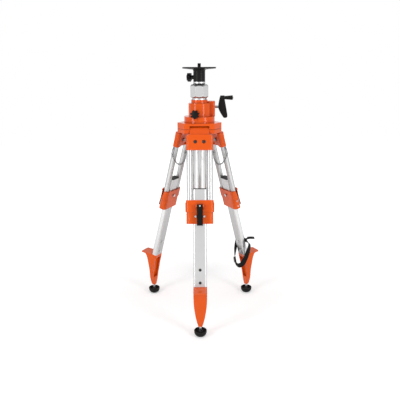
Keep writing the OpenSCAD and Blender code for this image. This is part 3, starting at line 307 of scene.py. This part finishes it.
def bump(mat, shader, height, strength, distance, bevel=0.0):
    node = add(mat, "ShaderNodeBump")
    node.inputs["Strength"].default_value = strength
    node.inputs["Distance"].default_value = distance
    wire(mat, height, node.inputs["Height"])
    if bevel:
        wire(mat, rounded_normal(mat, bevel), node.inputs["Normal"])
    wire(mat, node.outputs["Normal"], shader.inputs["Normal"])


# Materials

def split_line(mat, colour):
    """The colour, with the dark joint between the two halves of the head."""
    coords = add(mat, "ShaderNodeTexCoord")
    axes = add(mat, "ShaderNodeSeparateXYZ")
    near = add(mat, "ShaderNodeMath", operation="COMPARE")
    near.inputs[1].default_value = HINGE_Z
    near.inputs[2].default_value = SPLIT_LINE_H / 2
    wire(mat, coords.outputs["Object"], axes.inputs["Vector"])
    wire(mat, axes.outputs["Z"], near.inputs[0])
    return mix_colours(mat, near.outputs["Value"], colour, SPLIT_SHADE)


def orange_paint(name, split=False):
    """Glossy paint with a fine orange peel, painted shade in the crevices, and along the edges worn paint
    with a painted highlight.
    """
    mat, shader = new_material(name, ORANGE_BRIGHT, metallic=0.0, roughness=0.2)
    # Painted shade: both tones are darkened where other surfaces are close by
    deep = painted_crevice_shade(mat, ORANGE_DEEP, PAINTED_SHADE_REACH, depth=0.3)
    bright = painted_crevice_shade(mat, ORANGE_BRIGHT, PAINTED_SHADE_REACH, depth=0.3)
    shade = mix_colours(mat, noise(mat, scale=18), deep, bright)
    # Edges painted lighter: worn paint and a painted highlight
    worn_and_lit = mix_colours(mat, edges(mat, PAINT_WEAR_AND_HIGHLIGHT), shade, ORANGE_WORN_AND_LIT)
    wire(mat, split_line(mat, worn_and_lit) if split else worn_and_lit, shader.inputs["Base Color"])
    wire(mat, spread(mat, noise(mat, scale=60, detail=5), low=0.1, high=0.16), shader.inputs["Roughness"])
    shader.inputs["Specular IOR Level"].default_value = 0.25
    bump(mat, shader, noise(mat, scale=700, detail=2), strength=0.1, distance=PAINT_PEEL, bevel=PAINT_BEVEL)
    return mat


def satin_aluminium(name, turn, dark, light, smooth, rough):
    """Anodised extrusion with fine lines along its length, duller where it is seen at a low angle."""
    mat, shader = new_material(name, (light, light, light), metallic=1.0, roughness=rough)
    lines = noise(mat, scale=900, detail=2, stretch=(1, 1, 160), turn=turn)
    shade = mix_colours(mat, noise(mat, scale=25, detail=4), (dark, dark, dark), (light, light, light))
    wire(mat, shade, shader.inputs["Base Color"])
    wire(mat, spread(mat, lines, smooth, rough), shader.inputs["Roughness"])
    shader.inputs["Specular Tint"].default_value = (*METAL_EDGE, 1)
    bump(mat, shader, lines, strength=0.03, distance=METAL_LINE, bevel=METAL_BEVEL)
    return mat


def plated_steel(name, dark, light):
    mat, shader = new_material(name, (light, light, light), metallic=1.0, roughness=0.28)
    shade = mix_colours(mat, noise(mat, scale=160, detail=5), (dark, dark, dark), (light, light, light))
    wire(mat, shade, shader.inputs["Base Color"])
    wire(mat, spread(mat, noise(mat, scale=400, detail=4), low=0.2, high=0.38), shader.inputs["Roughness"])
    bump(mat, shader, noise(mat, scale=1500, detail=2), strength=0.1, distance=STEEL_GRAIN, bevel=STEEL_BEVEL)
    return mat


def black_finish(name, colour, roughness, grain_scale, grain_depth):
    """Black coating, plastic or rubber with a fine grain, dusty in places and paler along the edges as wear
    and a painted highlight.
    """
    mat, shader = new_material(name, colour, metallic=0.0, roughness=roughness)
    shader.inputs["Specular IOR Level"].default_value = 0.1
    dusty = tuple(1.5 * c for c in colour)
    shade = mix_colours(mat, noise(mat, scale=40, detail=5), colour, dusty)
    # Edges painted paler: wear and a painted highlight
    wire(mat, mix_colours(mat, edges(mat, BLACK_WEAR_AND_HIGHLIGHT), shade, BLACK_WORN_AND_LIT), shader.inputs["Base Color"])
    gloss = spread(mat, noise(mat, scale=120, detail=4), low=roughness - 0.07, high=roughness + 0.07)
    wire(mat, gloss, shader.inputs["Roughness"])
    bump(mat, shader, noise(mat, scale=grain_scale), strength=0.25, distance=grain_depth, bevel=BLACK_BEVEL)
    return mat


def weave_wave(mat, direction, scale, distortion):
    """Bands across or along the webbing's own map."""
    coords = add(mat, "ShaderNodeUVMap", uv_map="band")
    wave = add(mat, "ShaderNodeTexWave", wave_type="BANDS", bands_direction=direction)
    wave.inputs["Scale"].default_value = scale
    wave.inputs["Distortion"].default_value = distortion
    wire(mat, coords.outputs["UV"], wave.inputs["Vector"])
    return wave.outputs["Fac"]


def webbing():
    """Black woven band, with ribs across it and yarns along it."""
    mat, shader = new_material("webbing", WEBBING_LIGHT, metallic=0.0, roughness=0.8)
    weave = add(mat, "ShaderNodeMath", operation="MULTIPLY")
    wire(mat, weave_wave(mat, "X", scale=160, distortion=0.6), weave.inputs[0])
    wire(mat, weave_wave(mat, "Y", scale=230, distortion=0), weave.inputs[1])
    shade = mix_colours(mat, weave.outputs["Value"], WEBBING_DARK, WEBBING_LIGHT)
    wire(mat, shade, shader.inputs["Base Color"])
    shader.inputs["Sheen Weight"].default_value = 0.08
    shader.inputs["Specular IOR Level"].default_value = 0.1
    bump(mat, shader, weave.outputs["Value"], strength=0.6, distance=WEAVE_DEPTH)
    return mat


paint = orange_paint("orange_paint")
head_paint = orange_paint("head_paint", split=True)
steel = plated_steel("plated_steel", dark=0.5, light=0.7)
chain_steel = plated_steel("chain_steel", dark=0.12, light=0.3)
screw_steel = plated_steel("screw_steel", dark=0.035, light=0.07)
column_metal = satin_aluminium("column_aluminium", (0, 0, 0), dark=0.56, light=0.6, smooth=0.32, rough=0.4)
leg_metal = {}
tube_metal = {}
for leg_name, bearing in LEGS.items():
    turn = leg_frame(bearing).to_euler()
    leg_metal[leg_name] = satin_aluminium("leg_aluminium_" + leg_name, turn,
                                          dark=0.57, light=0.61, smooth=0.32, rough=0.42)
    tube_metal[leg_name] = satin_aluminium("tube_aluminium_" + leg_name, turn,
                                           dark=0.47, light=0.51, smooth=0.36, rough=0.44)
black_metal = black_finish("black_coating", COATING_BLACK, roughness=0.32,
                           grain_scale=900, grain_depth=COATING_GRAIN)
plastic = black_finish("black_plastic", PLASTIC_BLACK, roughness=0.38,
                       grain_scale=1100, grain_depth=PLASTIC_GRAIN)
rubber = black_finish("black_rubber", RUBBER_BLACK, roughness=0.5,
                      grain_scale=700, grain_depth=RUBBER_GRAIN)
band = webbing()
by_slot = {"orange_paint": paint, "steel": steel, "black_metal": black_metal, "black_plastic": plastic,
           "rubber": rubber, "webbing": band}


def node_material(name, slot):
    """The material of a solid's slot, or its own for dark steel, the head and the metal of each leg."""
    if name == "crank_shaft" or name.startswith("leg_bolts"):
        return chain_steel
    if name in ("head_upper", "head_lower"):
        return head_paint
    if slot == "aluminium":
        metals = tube_metal if name.startswith("leg_tubes") else leg_metal
        return metals.get(name.rsplit("_", 1)[-1], column_metal)
    return by_slot[slot]


def dress_nodes():
    slots = {part["node"]: part["material_slot"] for part in frame["record"]["subparts"]}
    for name, obj in nodes.items():
        mat = node_material(name, slots[name])
        for material_slot in obj.material_slots:
            material_slot.material = mat
        if not obj.material_slots:
            obj.data.materials.append(mat)


dress_nodes()


# Making pieces

def piece(name, mesh, body, mat, place=Matrix.Identity(4)):
    mesh.transform(place)
    mesh.materials.append(mat)
    obj = bpy.data.objects.new(name, mesh)
    scene.collection.objects.link(obj)
    if body:
        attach(obj, body)
    return obj


def finish_mesh(bm, name, smooth=True):
    mesh = bpy.data.meshes.new(name)
    bmesh.ops.recalc_face_normals(bm, faces=bm.faces)
    bm.to_mesh(mesh)
    bm.free()
    if smooth:
        mesh.shade_smooth()
        mesh.set_sharp_from_angle(angle=SHARP_ANGLE)
    return mesh


def grid_faces(bm, rows, closed_rows, closed_columns):
    """Joins rows of points into a skin."""
    verts = [[bm.verts.new(p) for p in row] for row in rows]
    row_count = len(verts)
    column_count = len(verts[0])
    for i in range(row_count if closed_rows else row_count - 1):
        a = verts[i]
        b = verts[(i + 1) % row_count]
        for k in range(column_count if closed_columns else column_count - 1):
            bm.faces.new((a[k], a[(k + 1) % column_count], b[(k + 1) % column_count], b[k]))
    return verts


def around(steps):
    return [2 * pi * k / steps for k in range(steps)]


def ring(radius, height, steps):
    """Points of a level circle."""
    return [Vector((radius * cos(turn), radius * sin(turn), height)) for turn in around(steps)]


def facing_out(out, across, drop, inward=False):
    """A place on a leg whose Z points out of the leg, or in."""
    turn = Matrix.Rotation(-pi / 2 if inward else pi / 2, 4, "Y")
    return Matrix.Translation((out, across, -drop)) @ turn


# Screws: a low dome with a socket

def socket_ring(radius, sides, height, steps):
    """Points of a level polygon, as many as a circle has."""
    points = []
    sector = pi / sides
    for turn in around(steps):
        r = radius * cos(sector) / cos((turn % (2 * sector)) - sector)
        points.append(Vector((r * cos(turn), r * sin(turn), height)))
    return points


def screw_head(name, radius, height, sides, socket_share, depth_share):
    """A domed screw head with a socket of the given sides."""
    rim_share = SOCKET_RIM_SHARE * socket_share
    rows = [ring(radius, 0, SCREW_STEPS)]
    for i in range(1, DOME_STEPS + 1):
        angle = pi / 2 * i / DOME_STEPS
        row_r = radius * (rim_share + (1 - rim_share) * cos(angle))
        rows.append(ring(row_r, height * sin(angle), SCREW_STEPS))
    rows.append(socket_ring(radius * socket_share, sides, height, SCREW_STEPS))
    rows.append(socket_ring(radius * socket_share, sides, height * (1 - depth_share), SCREW_STEPS))
    bm = bmesh.new()
    verts = grid_faces(bm, rows, closed_rows=False, closed_columns=True)
    bm.faces.new(verts[-1])
    return finish_mesh(bm, name)


def add_screw(name, size, body, mat, place, sides=6, socket_share=0.5, depth_share=0.75):
    radius, height = size
    piece(name, screw_head(name, radius, height, sides, socket_share, depth_share), body, mat, place)


def add_leg_screws(leg_name, bearing):
    """The screws of a leg's bracket and clamp, with the rivet of the lever."""
    body = "leg_" + leg_name
    place = leg_frame(bearing)
    bracket_face = LEG_OFFSET + BRACKET_T / 2 - BRACKET_HEAD_SINK
    clamp_face = LEG_OFFSET + CLAMP_LOWER_T / 2 + CLAMP_HEAD_H
    grip_face = LEG_OFFSET - CLAMP_T / 2 - GRIP_HEAD_H
    side_face = SIDE_SCREW_SINK - CLAMP_LOWER_W / 2
    rivet_face = LEVER_OUT + LEVER_HUB_R - RIVET_SINK
    for side, letter in ((-1, "a"), (1, "b")):
        tag = "%s_%s" % (leg_name, letter)
        add_screw("bracket_screw_" + tag, BRACKET_SCREW, body, screw_steel,
                  place @ facing_out(bracket_face, side * BRACKET_BOLT_Y, BRACKET_BOLT_DROP))
        add_screw("clamp_screw_" + tag, CLAMP_SCREW, body, steel,
                  place @ facing_out(clamp_face, side * CLAMP_SCREW_Y, CLAMP_SCREW_DROP))
    add_screw("grip_screw_" + leg_name, GRIP_SCREW, body, steel,
              place @ facing_out(grip_face, 0, GRIP_SCREW_DROP, inward=True))
    for index, drop in enumerate(SIDE_SCREW_DROPS):
        at = Matrix.Translation((LEG_OFFSET, side_face, -drop))
        add_screw("side_screw_%s_%d" % (leg_name, index), SIDE_SCREW, body, steel,
                  place @ at @ Matrix.Rotation(pi / 2, 4, "X"))
    add_screw("lever_rivet_" + leg_name, LEVER_RIVET, "clamp_lever_" + leg_name, steel,
              place @ facing_out(rivet_face, 0, LEVER_DROP), sides=24, socket_share=0.3, depth_share=0.3)


def add_foot_screws(leg_name, bearing):
    """The two through bolts of a foot; the strap lies twice under the upper one on the right."""
    body = "lower_leg_" + leg_name
    place = leg_frame(bearing)
    inner = LEG_OFFSET - LOWER_T / 2 - FOOT_BOLT_HEAD_H
    for index, drop in enumerate(FOOT_BOLT_DROPS):
        raised = 2 * STRAP_LAY if leg_name == "right" and index == 0 else 0
        outer = LEG_OFFSET + LOWER_T / 2 + FOOT_BOLT_HEAD_H + raised
        tag = "%s_%d" % (leg_name, index)
        add_screw("foot_screw_" + tag, FOOT_SCREW, body, screw_steel, place @ facing_out(outer, 0, drop))
        add_screw("foot_nut_" + tag, FOOT_SCREW, body, steel, place @ facing_out(inner, 0, drop, inward=True))


for leg_name, bearing in LEGS.items():
    add_leg_screws(leg_name, bearing)
    add_foot_screws(leg_name, bearing)


# Instrument bolt

def thread_mesh():
    """The bolt's outside as a screw thread with a chamfered end."""
    length = BOLT_SEAT + BOLT_H
    count = ceil(length / THREAD_PITCH * ROWS_PER_PITCH)
    rows = []
    for i in range(count + 1):
        z = length * i / count - BOLT_SEAT
        row = []
        for k, turn in enumerate(around(THREAD_STEPS)):
            phase = (z / THREAD_PITCH - k / THREAD_STEPS) % 1
            crest = min(1, max(0, THREAD_CREST_SHARE - THREAD_FLANK_SHARE * abs(phase - 1 / 2)))
            r = min(BOLT_R - THREAD_DEPTH * (1 - crest), BOLT_R - BOLT_CHAMFER + (BOLT_H - z))
            row.append(Vector((r * cos(turn), r * sin(turn), PLATFORM_TOP + z)))
        rows.append(row)
    bm = bmesh.new()
    verts = grid_faces(bm, rows, closed_rows=False, closed_columns=True)
    bm.faces.new(verts[-1])
    bm.faces.new(verts[0])
    return finish_mesh(bm, "bolt_thread")


bolt = piece("bolt_thread", thread_mesh(), "platform", black_metal)
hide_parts("instrument_bolt")


# Chains

def link_points(half, bend_r, steps):
    """The middle line of a long link in the XY plane."""
    straight = half - bend_r
    points = []
    for end, sign in ((0, 1), (pi, -1)):
        for i in range(steps + 1):
            angle = end - pi / 2 + pi * i / steps
            points.append(Vector((sign * straight + bend_r * cos(angle), bend_r * sin(angle), 0)))
    return points


def add_link(bm, half, bend_r, place, sides=10, steps=9):
    line = link_points(half, bend_r, steps)
    count = len(line)
    upward = Vector((0, 0, 1))
    rows = []
    for i, p in enumerate(line):
        along = (line[(i + 1) % count] - line[i - 1]).normalized()
        outward = Vector((along.y, -along.x, 0))
        rows.append([place @ (p + LINK_WIRE / 2 * (outward * cos(turn) + upward * sin(turn)))
                     for turn in around(sides)])
    grid_faces(bm, rows, closed_rows=True, closed_columns=True)


def catenary_constant(span, length):
    """The constant of the hanging curve of a given length over a given span, by halving."""
    low = span / SPAN_ROOM
    high = span * SPAN_ROOM
    for _ in range(HALVINGS):
        mid = (low + high) / 2
        if 2 * mid * sinh(span / (2 * mid)) > length:
            low = mid
        else:
            high = mid
    return low


def chain_run():
    """Places of the links between the leg at bearing 0 and the next leg, with its two ends and middle."""
    r = HINGE_R + CHAIN_DROP * sin(LEG_TILT) + LEG_OFFSET * cos(LEG_TILT)
    z = HINGE_Z - CHAIN_DROP * cos(LEG_TILT) + LEG_OFFSET * sin(LEG_TILT)
    start = Vector((r, EYE_Y, z))
    finish = Matrix.Rotation(LEG_SPACING, 4, "Z") @ Vector((r, -EYE_Y, z))
    span = (finish - start).length
    length = LINK_COUNT * LINK_PITCH
    a = catenary_constant(span, length - LINK_WIRE - 2 * END_PLAY)
    heading = atan2(finish.y - start.y, finish.x - start.x)
    middle = (start + finish) / 2
    places = []
    for i in range(LINK_COUNT):
        s = (i + 0.5) * LINK_PITCH - length / 2
        x = a * asinh(s / a)
        drop = a * (cosh(span / (2 * a)) - cosh(x / a))
        places.append(Matrix.Translation(middle - Vector((0, 0, drop))) @ Matrix.Rotation(heading, 4, "Z")
                      @ Matrix.Translation((x, 0, 0)) @ Matrix.Rotation(-atan(s / a), 4, "Y")
                      @ Matrix.Rotation(pi / 2 * ((i + 1) % 2), 4, "X"))
    sag = a * (cosh(span / (2 * a)) - 1)
    return places, start, finish, middle - Vector((0, 0, sag))


link_places, chain_start, chain_finish, chain_middle = chain_run()


def add_half_chain(leg_name, letter, links, turn):
    """Half of a chain, built as one fixed mesh in the part's frame."""
    bm = bmesh.new()
    for i in links:
        add_link(bm, LINK_HALF, LINK_BEND_R, turn @ link_places[i])
    name = "chain_%s_%s" % (leg_name, letter)
    half_chain = piece(name, finish_mesh(bm, name), None, chain_steel)
    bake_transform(half_chain)
    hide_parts("chain_" + leg_name)


def add_end_rings(leg_name, bearing):
    """The two long rings that join the chains to the eyes of a leg."""
    half = (CHAIN_DROP - END_RING_TOP) / 2
    middle_drop = (END_RING_TOP + CHAIN_DROP) / 2
    upright = Matrix.Rotation(pi / 2, 4, "Y") @ Matrix.Rotation(pi / 2, 4, "X")
    bm = bmesh.new()
    for side in (-1, 1):
        eye = leg_frame(bearing) @ Matrix.Translation((LEG_OFFSET, side * EYE_Y, -middle_drop))
        turn = Matrix.Rotation(side * END_RING_TURN, 4, "Z")
        add_link(bm, half, END_RING_BEND_R, eye @ turn @ upright, sides=14)
    name = "end_rings_" + leg_name
    piece(name, finish_mesh(bm, name), "leg_" + leg_name, chain_steel)


for leg_name, bearing in LEGS.items():
    first_half = range(LINK_COUNT // 2 + 1)
    second_half = range(LINK_COUNT // 2 + 1, LINK_COUNT)
    to_next = Matrix.Rotation(bearing, 4, "Z")
    from_last = Matrix.Rotation(bearing - LEG_SPACING, 4, "Z")
    add_half_chain(leg_name, "b", first_half, to_next)
    add_half_chain(leg_name, "a", second_half, from_last)
    add_end_rings(leg_name, bearing)


# Strap

def strap_row(share):
    return (LEG_OFFSET + share[0] * LOWER_T, share[1] * LOWER_W, -FOOT_BOLT_DROPS[0] - share[2] * FOOT_LEN,
            share[3], share[4])


def strap_lap(layer, facing, shift):
    """Rows of the strap where it lies flat on the leg under the bolt's head."""
    out = LEG_OFFSET + LOWER_T / 2 + STRAP_LAY / 2 + layer * STRAP_LAY
    return [(out, (share + shift) * LOWER_W, -FOOT_BOLT_DROPS[0], facing, 0) for share in STRAP_LAP_SHARES]


def strap_rows():
    """Rows of the strap: outward, across and up the leg, the way it faces and how far it lies flat."""
    loop = [strap_row(share) for share in STRAP_LOOP_SHARES]
    tail = [strap_row(share) for share in STRAP_TAIL_SHARES]
    return strap_lap(0, 0, 0) + loop + strap_lap(1, -360, STRAP_LAP_SHIFT_SHARE) + tail


def spline(points, steps):
    """A smooth run through rows of numbers."""
    last = len(points) - 1
    run = []
    for i in range(last):
        a = points[max(i - 1, 0)]
        b = points[i]
        c = points[i + 1]
        d = points[min(i + 2, last)]
        for k in range(steps):
            u = k / steps
            run.append(tuple((2 * q + (r - p) * u + (2 * p - 5 * q + 4 * r - t) * u * u
                              + (3 * q - p - 3 * r + t) * u ** 3) / 2 for p, q, r, t in zip(a, b, c, d)))
    run.append(tuple(points[last]))
    return run


def strap_axes(run, i):
    """Directions across the strap and square to it."""
    after = Vector(run[min(i + 1, len(run) - 1)][:3])
    before = Vector(run[max(i - 1, 0)][:3])
    along = (after - before).normalized()
    facing = radians(run[i][3])
    flat = run[i][4]
    square = (1 - flat) * Vector((cos(facing), sin(facing), 0)) + flat * Vector((0, 0, 1))
    square = (square - square.dot(along) * along).normalized()
    return square.cross(along), square


def band_outline():
    """The band's cross-section with thinner edges, as shares of half its width and half its thickness."""
    upper = [(w, BAND_EDGE_SHARE if abs(w) == 1 else 1) for w in BAND_SHARES]
    return upper + [(w, -t) for w, t in reversed(upper)]


def strap_mesh():
    """The band as a closed skin with soft edges; its map runs in metres along and across it."""
    run = spline(strap_rows(), STRAP_STEPS)
    outline = band_outline()
    rows = []
    lengths = []
    total = 0
    for i, row in enumerate(run):
        wide, square = strap_axes(run, i)
        centre = Vector(row[:3])
        if i:
            total += (centre - Vector(run[i - 1][:3])).length
        lengths.append(total)
        rows.append([centre + w * STRAP_W / 2 * wide + t * STRAP_T / 2 * square for w, t in outline])
    bm = bmesh.new()
    layer = bm.loops.layers.uv.new("band")
    verts = grid_faces(bm, rows, closed_rows=False, closed_columns=True)
    on_band = {}
    for i, loop in enumerate(verts):
        for k, vert in enumerate(loop):
            on_band[vert] = (lengths[i], outline[k][0] * STRAP_W / 2)
    bm.faces.new(verts[0])
    bm.faces.new(verts[-1])
    for face in bm.faces:
        for corner in face.loops:
            corner[layer].uv = on_band[corner.vert]
    return finish_mesh(bm, "strap_band"), total


strap_skin, strap_length = strap_mesh()
strap = piece("strap_band", strap_skin, "lower_leg_right", band, leg_frame(LEGS["right"]))
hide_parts("strap")


# Camera and light

def add_camera():
    data = bpy.data.cameras.new("camera")
    data.lens = CAMERA_LENS
    data.sensor_width = CAMERA_SENSOR
    camera = bpy.data.objects.new("camera", data)
    turn = Matrix.Rotation(pi / 2 - CAMERA_PITCH, 4, "X") @ Matrix.Rotation(CAMERA_ROLL, 4, "Z")
    camera.location = CAMERA_PLACE
    camera.rotation_euler = turn.to_euler()
    scene.collection.objects.link(camera)
    scene.camera = camera


def area_light(name, place, size, power):
    data = bpy.data.lights.new(name, "AREA")
    data.shape = "RECTANGLE"
    data.size, data.size_y = size
    data.energy = power
    obj = bpy.data.objects.new(name, data)
    obj.location = place
    obj.rotation_euler = (Vector(LAMP_TARGET) - Vector(place)).to_track_quat("-Z", "Y").to_euler()
    scene.collection.objects.link(obj)


def seen_rays(tree):
    """A share that is 1 for rays from the camera, off a gloss or through glass, and 0 for the rest."""
    path = tree.nodes.new("ShaderNodeLightPath")
    share = path.outputs["Is Camera Ray"]
    for kind in ("Is Glossy Ray", "Is Transmission Ray"):
        both = tree.nodes.new("ShaderNodeMath")
        both.operation = "MAXIMUM"
        tree.links.new(share, both.inputs[0])
        tree.links.new(path.outputs[kind], both.inputs[1])
        share = both.outputs["Value"]
    return share


def white_world():
    """A sky that is white to the eye and in reflections, and lights the part at a plain level."""
    world = bpy.data.worlds.new("studio")
    scene.world = world
    world.use_nodes = True
    tree = world.node_tree
    tree.nodes.clear()
    output = tree.nodes.new("ShaderNodeOutputWorld")
    background = tree.nodes.new("ShaderNodeBackground")
    background.inputs["Color"].default_value = (*WHITE, 1)
    strength = tree.nodes.new("ShaderNodeMapRange")
    strength.inputs["To Min"].default_value = SKY_LIGHT
    tree.links.new(seen_rays(tree), strength.inputs["Value"])
    tree.links.new(strength.outputs["Result"], background.inputs["Strength"])
    tree.links.new(background.outputs["Background"], output.inputs["Surface"])


def floor_material():
    """White floor that keeps the part's shadow and fades into the backdrop."""
    mat, shader = new_material("floor_white", FLOOR_LIGHT, metallic=0.0, roughness=0.7)
    shader.inputs["Emission Color"].default_value = (*WHITE, 1)
    shader.inputs["Specular IOR Level"].default_value = 0
    coords = add(mat, "ShaderNodeTexCoord")
    reach = add(mat, "ShaderNodeVectorMath", operation="LENGTH")
    wire(mat, coords.outputs["Object"], reach.inputs[0])
    glow = map_range(mat, reach.outputs["Value"], FLOOR_NEAR, FLOOR_FAR, FLOOR_GLOW_NEAR, FLOOR_GLOW_FAR)
    seen_glow = add(mat, "ShaderNodeMath", operation="MULTIPLY")
    wire(mat, glow, seen_glow.inputs[0])
    wire(mat, seen_rays(mat.node_tree), seen_glow.inputs[1])
    wire(mat, seen_glow.outputs["Value"], shader.inputs["Emission Strength"])
    wire(mat, mix_colours(mat, noise(mat, scale=3), FLOOR_DARK, FLOOR_LIGHT), shader.inputs["Base Color"])
    return mat


def pale_floor():
    bm = bmesh.new()
    bmesh.ops.create_circle(bm, cap_ends=True, radius=FLOOR_R, segments=96)
    mesh = finish_mesh(bm, "floor", smooth=False)
    mesh.materials.append(floor_material())
    floor = bpy.data.objects.new("floor", mesh)
    scene.collection.objects.link(floor)


add_camera()
scene.view_settings.view_transform = "Standard"
area_light("left_softbox", LEFT_LAMP_PLACE, SIDE_LAMP_SIZE, SIDE_LAMP_POWER)
area_light("right_softbox", RIGHT_LAMP_PLACE, SIDE_LAMP_SIZE, SIDE_LAMP_POWER)
area_light("top_softbox", TOP_LAMP_PLACE, TOP_LAMP_SIZE, TOP_LAMP_POWER)
white_world()
pale_floor()
